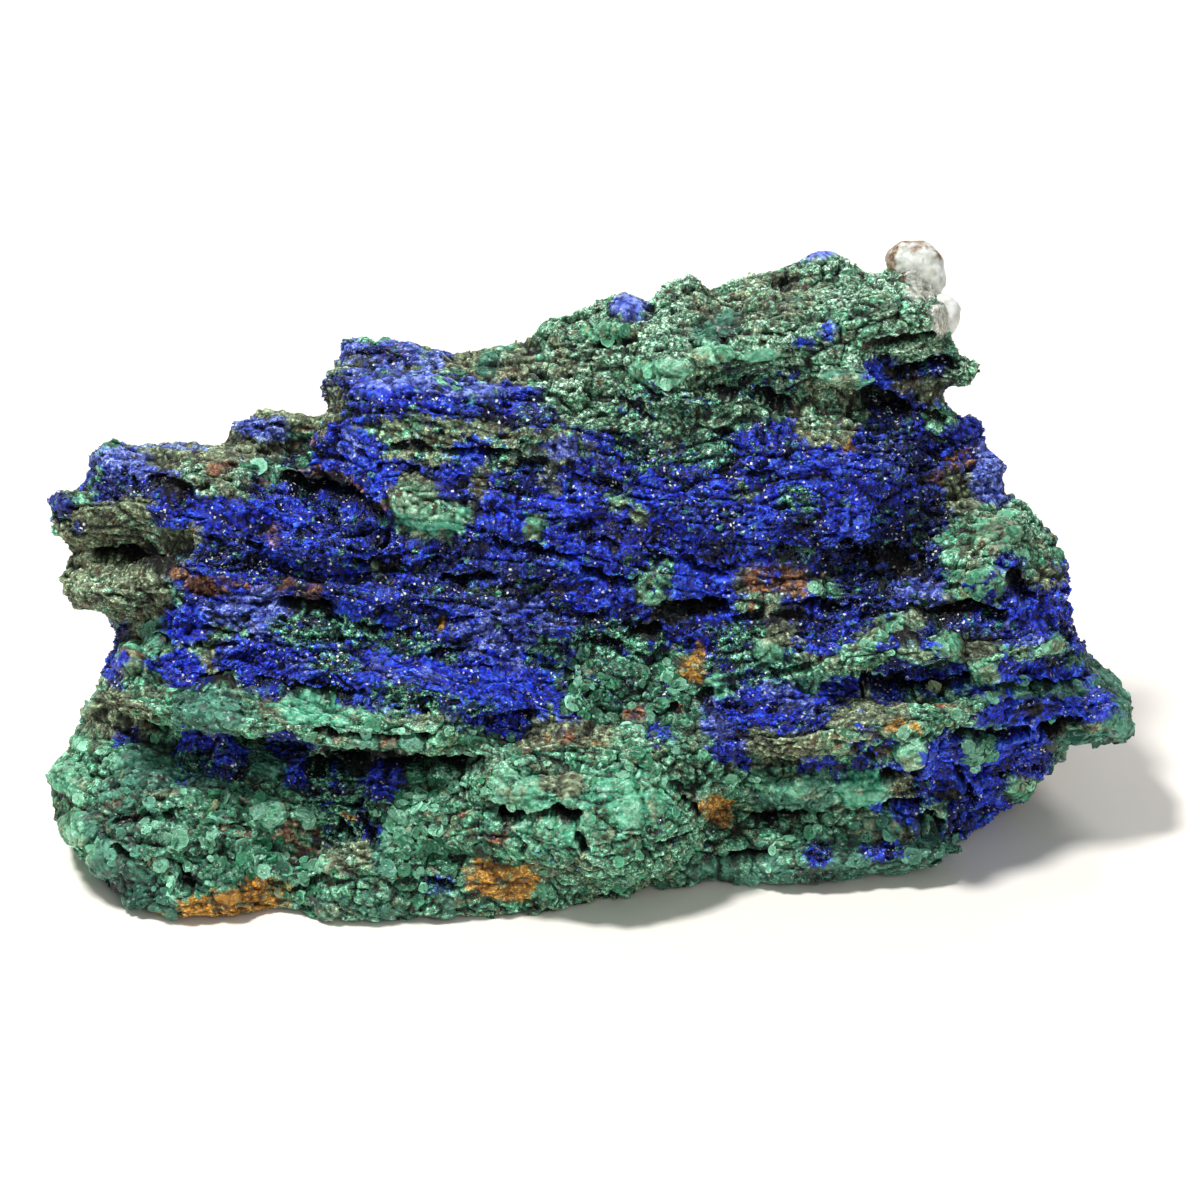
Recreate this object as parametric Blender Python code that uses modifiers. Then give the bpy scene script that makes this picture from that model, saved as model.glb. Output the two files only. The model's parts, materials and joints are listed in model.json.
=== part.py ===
"""An azurite and malachite rock: one broken lump of layered ore, standing on its base.

The broken face leans back from the table, so its forms are laid out on that leaning face:
along runs to the right, up runs up the slope and out stands off it, all in millimetres.
"""

import math
import random

import bmesh
import bpy
from mathutils import Matrix, Vector

MM = 0.001
ROCK_NAME = "azurite_malachite_rock"
ROCK_COLOUR = (0.065, 0.135, 0.145)   # azurite blue and malachite green seen together
ROCK_ROUGHNESS = 0.75
ROCK_METALLIC = 0.0

# Driving dimensions, in millimetres and degrees.
FACE_LEAN = 25.0            # how far the broken face leans back from upright
FACE_CENTRE_HEIGHT = 40.0   # height above the table of the face frame's origin
HALF_LENGTH = 92.0          # from the middle of the rock to the tip of either end
END_TAPER_POWER = 2.6       # how late the rock's depth starts to shrink towards its ends
THINNEST = 7.0              # depth left behind a rim at the very ends
SEAM_DEPTH = 5.0            # how far the soft stone between two beds has weathered back
SOFT_THICKNESS = 10.0       # the soft stone behind a bed's rim, which meets its neighbours
RIM_CHIP = 4.5              # spacing of the chips along a broken rim
CHIP_UP, CHIP_OUT = 0.9, 2.0
BACK_ROUGHNESS = 3.0        # how far the back edge of a bed wanders
BACK_NARROWING = 0.04       # how much shorter the rock is at the back than along its face

FUSE_VOXEL = 1.3            # grid on which beds and lumps grow into one body
TRIANGLES = 9600
TABLE_BLOCK = 400.0         # the block that cuts the base flat

# Uneven growth laid over the fused body: size of its swells and how far they stand out.
SWELL_SIZE, SWELL_HEIGHT = 14.0, 3.0
NODULE_SIZE, NODULE_HEIGHT = 6.0, 2.4
BEDDING_STRETCH = (2.2, 1.5, 0.9)   # the swells are long in the beds and thin across them

# Each bed: thickness of its rim, depth of its back edge behind the origin, slope of its top
# towards the back, and its broken rim from left to right as (along, up, out).
BEDS = {
    "foot": (10, 34, 0.0, [
        (-81, -43, 6), (-75, -48, 13), (-66, -50, 18), (-52, -48, 18), (-40, -51, 20),
        (-28, -51, 20), (-16, -50, 19), (-3, -47, 15), (10, -44, 11), (22, -44, 8),
        (36, -41, 6), (52, -40, 3), (61, -36, -4), (70, -30, -9), (78, -24, -11)]),
    "lower mass": (10, 38, 0.0, [
        (-89, -35, 2), (-80, -38, 10), (-66, -39, 15), (-52, -38, 15), (-38, -38, 16),
        (-24, -38, 19), (-8, -36, 22), (6, -36, 21), (17, -34, 16), (26, -35, 4),
        (40, -36, 1), (52, -34, 2), (64, -30, 0), (76, -25, -4)]),
    "shoulder": (7, 40, -0.05, [
        (-90, -28, 1), (-82, -28, 9), (-72, -30, 13), (-60, -31, 12), (-46, -31, 11),
        (-34, -31, 13), (-20, -28, 17), (-6, -26, 19), (8, -26, 17), (18, -26, 13),
        (28, -28, 8), (42, -29, 9), (52, -27, 9), (62, -24, 7), (74, -22, 3), (87, -20, -5)]),
    "green ledge": (6, 40, -0.1, [
        (-85, -17, 3), (-76, -17, 12), (-64, -18, 18), (-50, -19, 22), (-38, -21, 24),
        (-26, -23, 23), (-16, -25, 17)]),
    "right ledge": (6, 40, -0.1, [
        (-8, -21, 11), (12, -20, 11), (24, -23, 12), (36, -22, 15), (46, -21, 16),
        (56, -19, 14), (66, -17, 8), (78, -16, 4), (89, -20, -5)]),
    "blue shelf": (5, 40, -0.1, [
        (-81, -11, 0), (-70, -9, 7), (-58, -8, 11), (-44, -11, 15), (-30, -14, 19),
        (-16, -17, 20), (-3, -18, 15), (6, -14, 7), (20, -14, 9), (34, -15, 8),
        (46, -14, 7), (58, -12, 8), (70, -9, 6), (81, -12, -2)]),
    "lower blue": (5, 40, -0.1, [
        (-82, -5, -1), (-70, -3, 7), (-56, -4, 10), (-40, -6, 12), (-24, -8, 13),
        (-10, -10, 12), (4, -8, 8), (18, -7, 6), (32, -9, 11), (46, -9, 14),
        (57, -7, 12), (66, -5, 9), (73, -4, 3), (78, -3, -5)]),
    "lower fin": (6, 38, -0.12, [
        (-91, 1, -1), (-80, 2, 7), (-70, 1, 10), (-56, 1, 8), (-40, -1, 10), (-24, -2, 11),
        (-8, -3, 10), (8, -1, 6), (24, 0, 7), (38, -1, 7), (50, -2, 8), (60, 0, 7),
        (70, 0, 5), (77, 0, -5)]),
    "middle": (5, 36, -0.12, [
        (-78, 7, -7), (-64, 6, 3), (-50, 6, 8), (-34, 5, 9), (-18, 3, 11), (0, 4, 9),
        (16, 5, 8), (34, 5, 6), (46, 4, -2), (56, 6, 3), (66, 6, 7), (71, 8, 1), (76, 6, -6)]),
    "upper fin": (7, 32, -0.15, [
        (-92, 14.5, -1), (-82, 13, 6), (-70, 13, 10), (-58, 12, 9), (-46, 11, 5), (-36, 11, 8),
        (-20, 10, 12), (-2, 11, 9), (16, 12, 10), (32, 12, 9), (44, 12, 7), (54, 12, -2),
        (64, 12, 2), (72, 12, -7)]),
    "purple shelf": (6, 20, -0.25, [
        (-85, 20, -6), (-76, 20, 4), (-66, 19, 7), (-55, 19, 0), (-46, 20, -1), (-38, 18, 9),
        (-22, 17, 12), (-4, 18, 9), (14, 19, 9), (30, 19, 10), (44, 19, 7), (54, 19, -1),
        (62, 20, -4), (68, 19, -9)]),
    "block foot": (8, 22, -0.2, [
        (-48, 26, -4), (-42, 26, 8), (-28, 25, 13), (-12, 25, 11), (4, 26, 7), (20, 26, 8),
        (36, 26, 7), (46, 27, 3), (56, 27, -5), (64, 25, -11)]),
    "block": (7, 16, -0.1, [
        (-45, 33, -1), (-40, 33, 6), (-28, 33, 10), (-14, 32, 7), (0, 32, 2), (14, 31, 3),
        (30, 32, 3), (44, 33, 0), (52, 34, -5), (58, 34, -9)]),
    "block crown": (6, 16, 0.0, [
        (-43, 39, -5), (-34, 39, 0), (-24, 38, 0), (-10, 38, -2), (4, 39, 3), (16, 38, 5),
        (30, 37, 3), (44, 39, 2), (56, 39, -3), (61, 38, -6)]),
    "green ridge": (7, 26, 0.05, [
        (-9, 42, -3), (4, 42, 5), (16, 40, 9), (28, 41, 8), (40, 43, 6), (50, 44, 4), (58, 45, -3)]),
    "ridge crown": (7, 28, 0.05, [
        (4, 45, -4), (18, 46, -4), (30, 50, -6), (42, 51, -6), (50, 50, -5), (56, 47, -6)]),
}

# Rounded masses and thin ledges that stand out from the face: centre (along, up, out), half
# sizes along, up and out, and how far the right end is turned up, in degrees.
LUMPS = {
    "left mass": ((-68, -38, 8), (20, 12, 13), 0),
    "left cheek": ((-82, -32, 1), (9.5, 9, 9), 0),
    "left toe": ((-66, -49, 14), (13, 4, 7), 0),
    "valley": ((-37, -45, 12), (13, 8, 11), 0),
    "centre mass": ((-4, -36, 13), (22, 12, 14), 0),
    "centre brow": ((4, -26, 12), (17, 6, 11), -4),
    "centre cheek": ((-14, -31, 17), (9, 7, 9), 0),
    "teal nodules": ((33, -31, 6), (8, 3.5, 8), 5),
    "teal fold": ((45, -32, 6), (6, 3.5, 7), 10),
    "right nodule": ((52, -25, 13), (4, 5, 6), 0),
    "bottom ledge": ((40, -43, 4), (22, 3, 8), 5),
    "right shelf": ((45, -21, 13), (20, 3, 8), 9),
    "right upper shelf": ((46, -9, 12), (13, 3, 8), 6),
    "right outer shelf": ((67, -9, 7), (10, 2.5, 8), 14),
    "wing": ((80, -19, -3), (9, 4, 8), 4),
    "green ledge rim": ((-52, -20, 19), (30, 2.6, 8), -7),
    "neck lump": ((-75, -11, 6), (5, 3, 6), -20),
    "long ledge": ((-27, -14.5, 17), (22, 2, 8), -10),
    "violet strip": ((-43, 0.5, 9), (18, 1.8, 7), -4),
    "upper strip": ((-44, 8.5, 9), (16, 1.8, 6), -3),
    "middle strip": ((-10, -4, 11), (15, 1.8, 6), -6),
    "left fin lump": ((-79, 1, 3), (9, 4, 7), 4),
    "terracotta lip": ((-64, 5, 6), (8, 2, 6), 0),
    "fin crest": ((-64, 20, 4), (7, 3.2, 6), -5),
    "fin top": ((-66, 24.5, -7), (11, 2, 8), 3),
    "left comb": ((-55, 29.5, -9), (7, 3.4, 6), 8),
    "upper left block": ((-29, 30, 2), (16, 9, 12), 0),
    "block chin": ((-32, 19, 4), (9, 6, 9), -10),
    "green spot": ((-27, 14, 8), (7, 4, 5), 0),
    "blue wall": ((32, 22, 0), (21, 8, 11), 5),
    "wall rib": ((8, 16, 4), (14, 3, 9), -5),
    "right lump": ((63, 3, 2), (8, 5, 8), 0),
    "right lump top": ((66, 11, -4), (8, 4, 7), 10),
    "brown post": ((64, 22, -9), (4, 5, 5), 0),
    "ridge lobe": ((16, 33, 4), (13, 2.6, 8), -3),
    "ridge rim": ((15, 39.5, 4), (13, 3.4, 8), 3),
    "ridge brow": ((47, 46, -2), (10, 5, 9), 8),
    "hanging leaf": ((40, 37, 4), (6, 2, 6), -4),
    "right spur": ((60, 38, -6), (5.5, 3, 4), 10),
    "quartz knob": ((53.2, 55.5, -10), (4.4, 5.2, 5), 0),
    "lower quartz knob": ((57, 46.5, -6), (2.6, 4, 3.5), 0),
    "crown hump": ((37, 55, -11), (8, 4, 6), 0),
    "crown nib": ((5, 48, -6), (4, 2.4, 4), 0),
    "left nib": ((-81, 24, -5), (3, 2, 4), 0),
}

# Gaps broken out between the beds, in the same form as the lumps.
HOLLOWS = {
    "under the green ledge": ((-61, -25.5, 21), (16, 2.4, 10), -3),
    "crevice right of it": ((-33, -28, 24), (13, 2.0, 10), -4),
    "under the block": ((-46, 18.5, 9), (9, 1.9, 9), -14),
    "between the fins": ((-80, 8, 4), (8, 2.0, 8), -6),
    "under the blue wall": ((49, 8.5, 7), (6, 4, 8), 0),
    "wall shadow": ((20, 7.5, 13), (16, 1.6, 6), 4),
    "under the right lump": ((62, -4.5, 12), (8, 1.8, 8), 12),
    "under the ridge": ((22, 36, 9), (9, 1.6, 7), 6),
    "under the right brow": ((50, 39.5, 3), (7, 1.8, 7), 6),
    "under the teal nodules": ((29, -37.5, 9), (8, 1.8, 7), 6),
    "right slot": ((58, -14.5, 14), (14, 1.8, 8), 8),
    "lower right slot": ((62, -28, 12), (10, 1.6, 9), 14),
    "long seam": ((-38, -8, 18), (20, 1.5, 6), -8),
    "upper seam": ((-38, 3, 15), (18, 1.3, 5), -3),
    "shaft": ((-69, -46, 24), (2.5, 2, 7), 0),
    "mouth": ((-6, -36, 29), (3.5, 1.6, 6), 0),
    "left pit": ((-87, -9, 8), (5, 4, 8), 0),
}


def on_face(along, up, out):
    """The point at that place on the leaning face, in metres."""
    lean = math.radians(FACE_LEAN)
    back = up * math.sin(lean) - out * math.cos(lean)
    height = FACE_CENTRE_HEIGHT + up * math.cos(lean) + out * math.sin(lean)
    return Vector((along, back, height)) * MM


def clear_scene():
    for old in list(bpy.data.objects):
        bpy.data.objects.remove(old)


def new_object(name, mesh):
    made = bpy.data.objects.new(name, mesh)
    bpy.context.scene.collection.objects.link(made)
    return made


def bake_modifiers(obj):
    """Give the object its evaluated mesh, with its modifiers used up."""
    bpy.context.view_layer.update()
    graph = bpy.context.evaluated_depsgraph_get()
    mesh = bpy.data.meshes.new_from_object(obj.evaluated_get(graph))
    obj.modifiers.clear()
    obj.data = mesh


def back_edge(rim_point, depth, slope, wander):
    """The back end of a bed behind a rim point: the rock is lens-shaped seen from above."""
    fullness = 1 - min(1, abs(rim_point.x) / (HALF_LENGTH * MM)) ** END_TAPER_POWER
    reach = (depth * MM - rim_point.y) * math.sqrt(fullness)
    reach += wander.uniform(-1, 1) * BACK_ROUGHNESS * MM
    reach = max(reach, THINNEST * MM)
    return rim_point + Vector((-BACK_NARROWING * rim_point.x, reach, reach * slope))


def chipped(rim, wander):
    """The rim with points every few millimetres, each knocked a little out of line."""
    points = [Vector(rim[0])]
    for start, end in zip(rim, rim[1:]):
        start, end = Vector(start), Vector(end)
        chips = max(1, round((end - start).length / RIM_CHIP))
        for step in range(1, chips + 1):
            knock = Vector((0, wander.uniform(-CHIP_UP, CHIP_UP), wander.uniform(-CHIP_OUT, CHIP_OUT)))
            points.append(start.lerp(end, step / chips) + knock)
    return points


def add_slab(name, thickness, fronts, backs):
    """A slab of stone between a line of front points and a line of back points."""
    bm = bmesh.new()
    rim = [bm.verts.new(point) for point in fronts]
    edges = [bm.edges.new(pair) for pair in zip(rim, rim[1:])]
    swept = bmesh.ops.extrude_edge_only(bm, edges=edges)["geom"]
    rear = sorted((v for v in swept if isinstance(v, bmesh.types.BMVert)), key=lambda v: v.co.x)
    for vert, point in zip(rear, backs):
        vert.co = point
    mesh = bpy.data.meshes.new(name)
    bm.to_mesh(mesh)
    bm.free()
    slab = new_object(name, mesh)
    solid = slab.modifiers.new("thickness", "SOLIDIFY")
    solid.thickness = thickness * MM
    solid.offset = 0
    bake_modifiers(slab)
    return slab


def add_bed(name, thickness, depth, slope, rim):
    """A hard bed that stands out as a ledge, and the soft stone set back around it."""
    wander = random.Random(name)
    places = chipped(rim, wander)
    fronts = [on_face(*place) for place in places]
    backs = [back_edge(front, depth, slope, wander) for front in fronts]
    weathered = [on_face(along, up, out - SEAM_DEPTH) for along, up, out in places]
    return [
        add_slab(name, thickness, fronts, backs),
        add_slab(name + " soft", SOFT_THICKNESS, weathered, backs),
    ]


def add_lump(name, place, half_sizes, turn):
    """A squashed ball whose half sizes run along, up and out of the face."""
    bpy.ops.mesh.primitive_ico_sphere_add(subdivisions=4, radius=1, location=on_face(*place))
    lump = bpy.context.object
    lump.name = name
    along, up, out = half_sizes
    lump.scale = Vector((along, out, up)) * MM
    lump.rotation_mode = "YXZ"
    lump.rotation_euler = (-math.radians(FACE_LEAN), -math.radians(turn), 0)
    bpy.ops.object.transform_apply(location=True, rotation=True, scale=True)
    return lump


def join(objects, name):
    bm = bmesh.new()
    for obj in objects:
        bm.from_mesh(obj.data)
        bpy.data.objects.remove(obj)
    mesh = bpy.data.meshes.new(name)
    bm.to_mesh(mesh)
    bm.free()
    return new_object(name, mesh)


def fuse(body, smoothing):
    """Grow overlapping pieces into one skin, with their corners worn."""
    grown = body.modifiers.new("grown together", "REMESH")
    grown.mode = "VOXEL"
    grown.voxel_size = FUSE_VOXEL * MM
    soften = body.modifiers.new("worn edges", "SMOOTH")
    soften.factor = 0.5
    soften.iterations = smoothing
    bake_modifiers(body)


def swell(rock, kind, size, height, bedding):
    """Push the skin in and out by a natural texture stretched along the beds."""
    texture = bpy.data.textures.new(kind.lower(), kind)
    texture.noise_scale = size * MM
    push = rock.modifiers.new(kind.lower(), "DISPLACE")
    push.texture = texture
    push.texture_coords = "OBJECT"
    push.texture_coords_object = bedding
    push.strength = height * MM
    bake_modifiers(rock)


def keep_largest_body(rock):
    """Drop any pocket that closed up inside the rock."""
    bm = bmesh.new()
    bm.from_mesh(rock.data)
    bm.verts.ensure_lookup_table()
    unseen = set(bm.verts)
    bodies = []
    while unseen:
        body, edge = set(), [unseen.pop()]
        while edge:
            vert = edge.pop()
            body.add(vert)
            for link in vert.link_edges:
                other = link.other_vert(vert)
                if other in unseen:
                    unseen.remove(other)
                    edge.append(other)
        bodies.append(body)
    largest = max(bodies, key=len)
    loose = [v for body in bodies if body is not largest for v in body]
    bmesh.ops.delete(bm, geom=loose, context="VERTS")
    bm.to_mesh(rock.data)
    bm.free()


def cut_away(rock, cutter):
    """Take the cutter's shape out of the rock, and drop the cutter."""
    cut = rock.modifiers.new(cutter.name, "BOOLEAN")
    cut.operation = "DIFFERENCE"
    cut.solver = "EXACT"
    cut.object = cutter
    bake_modifiers(rock)
    bpy.data.objects.remove(cutter)


def break_out_hollows(rock):
    cutter = join([add_lump(name, *shape) for name, shape in HOLLOWS.items()], "hollows")
    fuse(cutter, 0)
    cut_away(rock, cutter)


def thin_out(rock):
    count = sum(len(p.vertices) - 2 for p in rock.data.polygons)
    fewer = rock.modifiers.new("fewer faces", "DECIMATE")
    fewer.ratio = TRIANGLES / count
    bake_modifiers(rock)


def flatten_base(rock):
    """Cut the rock off flat where it stands on the table."""
    size = TABLE_BLOCK * MM
    bpy.ops.mesh.primitive_cube_add(size=size, location=(0, 0, -size / 2))
    block = bpy.context.object
    block.name = "table"
    cut_away(rock, block)


def centre_on_origin(rock):
    """Move the rock so that it stands over the origin."""
    corners = [Vector(corner) for corner in rock.bound_box]
    middle = sum(corners, Vector()) / len(corners)
    rock.data.transform(Matrix.Translation((-middle.x, -middle.y, 0)))


def give_material(rock):
    stone = bpy.data.materials.new("stone")
    stone.use_nodes = True
    shader = stone.node_tree.nodes["Principled BSDF"]
    shader.inputs["Base Color"].default_value = (*ROCK_COLOUR, 1)
    shader.inputs["Roughness"].default_value = ROCK_ROUGHNESS
    shader.inputs["Metallic"].default_value = ROCK_METALLIC
    stone.diffuse_color = (*ROCK_COLOUR, 1)
    rock.data.materials.clear()
    rock.data.materials.append(stone)


def put_in_collection(obj, name):
    collection = bpy.data.collections.new(name)
    bpy.context.scene.collection.children.link(collection)
    bpy.context.scene.collection.objects.unlink(obj)
    collection.objects.link(obj)


def build():
    clear_scene()
    bedding = new_object("bedding", None)
    bedding.scale = BEDDING_STRETCH
    pieces = [slab for name, bed in BEDS.items() for slab in add_bed(name, *bed)]
    pieces += [add_lump(name, *shape) for name, shape in LUMPS.items()]
    rock = join(pieces, ROCK_NAME)
    fuse(rock, 1)
    swell(rock, "CLOUDS", SWELL_SIZE, SWELL_HEIGHT, bedding)
    swell(rock, "VORONOI", NODULE_SIZE, NODULE_HEIGHT, bedding)
    break_out_hollows(rock)
    fuse(rock, 1)
    keep_largest_body(rock)
    thin_out(rock)
    flatten_base(rock)
    centre_on_origin(rock)
    give_material(rock)
    put_in_collection(rock, "Azurite malachite specimen")
    bpy.data.objects.remove(bedding)


build()
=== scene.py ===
import json
import math
import bpy
import numpy as np
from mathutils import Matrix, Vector, noise

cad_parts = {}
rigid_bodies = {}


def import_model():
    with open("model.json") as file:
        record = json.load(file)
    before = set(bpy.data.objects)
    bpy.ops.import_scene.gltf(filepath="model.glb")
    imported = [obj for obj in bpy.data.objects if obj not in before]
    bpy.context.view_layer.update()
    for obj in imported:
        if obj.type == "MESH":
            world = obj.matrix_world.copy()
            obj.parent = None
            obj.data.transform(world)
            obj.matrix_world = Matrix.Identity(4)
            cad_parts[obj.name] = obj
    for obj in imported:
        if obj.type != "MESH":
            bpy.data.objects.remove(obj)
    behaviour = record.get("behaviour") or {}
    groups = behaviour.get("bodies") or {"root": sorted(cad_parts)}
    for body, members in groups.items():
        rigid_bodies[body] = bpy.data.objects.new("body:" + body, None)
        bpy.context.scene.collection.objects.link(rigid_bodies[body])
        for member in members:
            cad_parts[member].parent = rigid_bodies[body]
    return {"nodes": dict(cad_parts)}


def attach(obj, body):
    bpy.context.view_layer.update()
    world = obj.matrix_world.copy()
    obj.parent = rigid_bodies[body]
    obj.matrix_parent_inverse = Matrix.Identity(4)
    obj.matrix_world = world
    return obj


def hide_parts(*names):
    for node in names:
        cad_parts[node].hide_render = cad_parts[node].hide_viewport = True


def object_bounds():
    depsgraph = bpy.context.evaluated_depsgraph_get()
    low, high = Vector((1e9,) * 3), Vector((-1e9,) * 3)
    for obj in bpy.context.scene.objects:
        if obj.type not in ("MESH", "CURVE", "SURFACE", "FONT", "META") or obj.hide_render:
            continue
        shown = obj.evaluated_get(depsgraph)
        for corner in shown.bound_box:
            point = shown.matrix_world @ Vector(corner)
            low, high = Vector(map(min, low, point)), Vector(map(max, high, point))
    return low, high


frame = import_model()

# An azurite and malachite rock on a pale floor. The broken face leans back from the table, so
# places on it are given in millimetres along it, up its slope and out from it.

mm = 0.001
rockNode = "azurite_malachite_rock"
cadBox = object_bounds()

face = {
    "lean": 25,                      # degrees that the broken face leans back from upright
    "origin": (1.5, -0.55, 40.0),    # where the middle of the face is in the rock's frame
    "viewDistance": 746.3,           # how far off the face the eye stands, which spreads what stands out
    "reaches": (-14, -8),            # how far out from the middle the face's own forms start
}


def toLinear(hexColour):
    # sRGB hex to the linear values that Blender works in
    parts = [int(hexColour[i:i + 2], 16) / 255 for i in (1, 3, 5)]
    return tuple(c / 12.92 if c <= 0.04045 else ((c + 0.055) / 1.055) ** 2.4 for c in parts)


def addNode(tree, kind, settings=None, links=None):
    # settings: property or input name -> value; links: input name -> socket that feeds it
    node = tree.nodes.new(kind)
    for name, value in (settings or {}).items():
        if isinstance(name, str) and hasattr(node, name) and name not in node.inputs:
            setattr(node, name, value)
        else:
            node.inputs[name].default_value = value
    for name, socket in (links or {}).items():
        tree.links.new(socket, node.inputs[name])
    return node


def selectOnly(obj):
    bpy.ops.object.select_all(action="DESELECT")
    obj.select_set(True)
    bpy.context.view_layer.objects.active = obj


def applyModifiers(obj):
    selectOnly(obj)
    for modifier in list(obj.modifiers):
        bpy.ops.object.modifier_apply(modifier=modifier.name)


def selectFaces(obj, chosen):
    selectOnly(obj)
    bpy.ops.object.mode_set(mode="EDIT")
    bpy.ops.mesh.select_mode(type="FACE")
    bpy.ops.mesh.select_all(action="DESELECT")
    bpy.ops.object.mode_set(mode="OBJECT")
    obj.data.polygons.foreach_set("select", chosen)
    bpy.ops.object.mode_set(mode="EDIT")


def smoothStep(low, high, value):
    t = np.clip((value - low) / (high - low), 0, 1)
    return t * t * (3 - 2 * t)


upward = np.array((0, math.sin(math.radians(face["lean"])), math.cos(math.radians(face["lean"]))))
outward = np.array((0, -upward[2], upward[1]))


def toFace(points):
    # millimetre points in the rock's frame -> along, up, out, with what stands out spread as the eye sees it
    fromOrigin = points - np.array(face["origin"])
    x, up, out = fromOrigin[:, 0], fromOrigin @ upward, fromOrigin @ outward
    spread = face["viewDistance"] / (face["viewDistance"] - out)
    return x * spread, up * spread, out


def fromFace(along, up, out):
    # the other way: a place on the face as it is seen -> metres in the rock's frame
    spread = face["viewDistance"] / (face["viewDistance"] - out)
    place = np.array(face["origin"]) + upward * up / spread + outward * out
    return Vector(place + np.array((along / spread, 0, 0))) * mm


def noiseAt(points, size, seed=0.0, octaves=1):
    # natural noise about -1..1 with swells of that size; size may be one number or one for each axis
    scaled = points / np.array(size, float) + seed
    if octaves == 1:
        return np.array([noise.noise(Vector(p)) for p in scaled])
    return np.array([noise.fractal(Vector(p), 1.0, 2.0, octaves) for p in scaled])


def creasedAt(points, size, seed=0.0):
    # billowing lumps about 0..1 with sharp creases between them
    scaled = points / np.array(size, float) + seed
    return np.array([noise.turbulence(Vector(p), 4, True) for p in scaled])


# what turns a cell's centre into three numbers that look random
scramble = {
    "mix": np.array(((12.99, 39.35, 73.16), (78.23, 11.14, 52.24), (37.72, 83.16, 9.15))),
    "stretch": 43758.5,
}


def cellsAt(points, size, seed=0.0):
    # for the cell each point lies in: the cell's centre, how far off it is, how much nearer it is than
    # the next one (both in cell widths), and three numbers 0..1 of the cell's own
    scaled = points / np.array(size, float) + seed
    centre, near, gap = np.empty((len(points), 3)), np.empty(len(points)), np.empty(len(points))
    for i, p in enumerate(scaled):
        distances, centres = noise.voronoi(Vector(p))
        centre[i], near[i], gap[i] = centres[0], distances[0], distances[1] - distances[0]
    own = np.modf(np.abs(np.sin(centre @ scramble["mix"]) * scramble["stretch"]))[0]
    return (centre - seed) * np.array(size, float), near, gap, own


# The beds dip to the right, and past the middle they turn up again.
bedding = {
    "dip": 0.11,             # mm down for each mm along
    "turnsAt": 5, "turn": 0.0022,
    "wander": ((22, 50.0, 2.4), (8, 53.0, 1.1)),     # size, seed and height of their waves, in mm
}


def toBeds(points):
    # millimetres along, across and into the beds
    along, up, out = toFace(points)
    right = np.clip(along - bedding["turnsAt"], 0, None)
    across = up + bedding["dip"] * along - bedding["turn"] * right * right
    across += sum(noiseAt(points, size, seed) * height for size, seed, height in bedding["wander"])
    return np.stack((along, across, out), 1)


view = {"lens": 135, "sensor": 36, "tilt": 25, "imageWidth": 1200, "pixelsPerMm": 6.03}


def addCamera():
    distance = view["imageWidth"] * view["lens"] / (view["sensor"] * view["pixelsPerMm"]) * mm
    tilt = math.radians(view["tilt"])
    target = Vector(face["origin"]) * mm
    data = bpy.data.cameras.new("camera")
    data.lens = view["lens"]
    data.sensor_width = view["sensor"]
    data.clip_start = 0.01
    camera = bpy.data.objects.new("camera", data)
    camera.location = target + Vector((0, -math.cos(tilt), math.sin(tilt))) * distance
    camera.rotation_euler = (math.radians(90) - tilt, 0, 0)
    bpy.context.scene.collection.objects.link(camera)
    bpy.context.scene.camera = camera


studio = {
    "floor": "#f7f1e8",
    "sky": "#f4f6fb", "skyStrength": 0.30,
    # name: place, size and power, all in metres and watts
    "key": ((-0.40, -0.14, 1.05), 0.20, 13.0),
    "fill": ((0.35, -1.2, 0.75), 0.7, 3.6),
    "back": ((0.25, 0.9, 0.9), 0.5, 5.0),
}


def addStudio():
    scene = bpy.context.scene
    scene.view_settings.view_transform = "Standard"
    world = bpy.data.worlds.new("studio")
    world.use_nodes = True
    background = world.node_tree.nodes["Background"]
    background.inputs["Color"].default_value = (*toLinear(studio["sky"]), 1)
    background.inputs["Strength"].default_value = studio["skyStrength"]
    scene.world = world
    for name in ("key", "fill", "back"):
        place, size, power = studio[name]
        data = bpy.data.lights.new(name, "AREA")
        data.shape = "DISK"
        data.size = size
        data.energy = power
        lamp = bpy.data.objects.new(name, data)
        lamp.location = place
        aim = Vector(face["origin"]) * mm - lamp.location
        lamp.rotation_euler = aim.to_track_quat("-Z", "Y").to_euler()
        scene.collection.objects.link(lamp)
    bpy.ops.object.select_all(action="DESELECT")
    bpy.ops.mesh.primitive_plane_add(size=6)
    floor = bpy.context.object
    floor.name = "floor"
    paint = bpy.data.materials.new("matt_floor_paint")
    paint.use_nodes = True
    shader = paint.node_tree.nodes["Principled BSDF"]
    shader.inputs["Base Color"].default_value = (*toLinear(studio["floor"]), 1)
    shader.inputs["Roughness"].default_value = 0.6
    floor.data.materials.append(paint)


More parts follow.
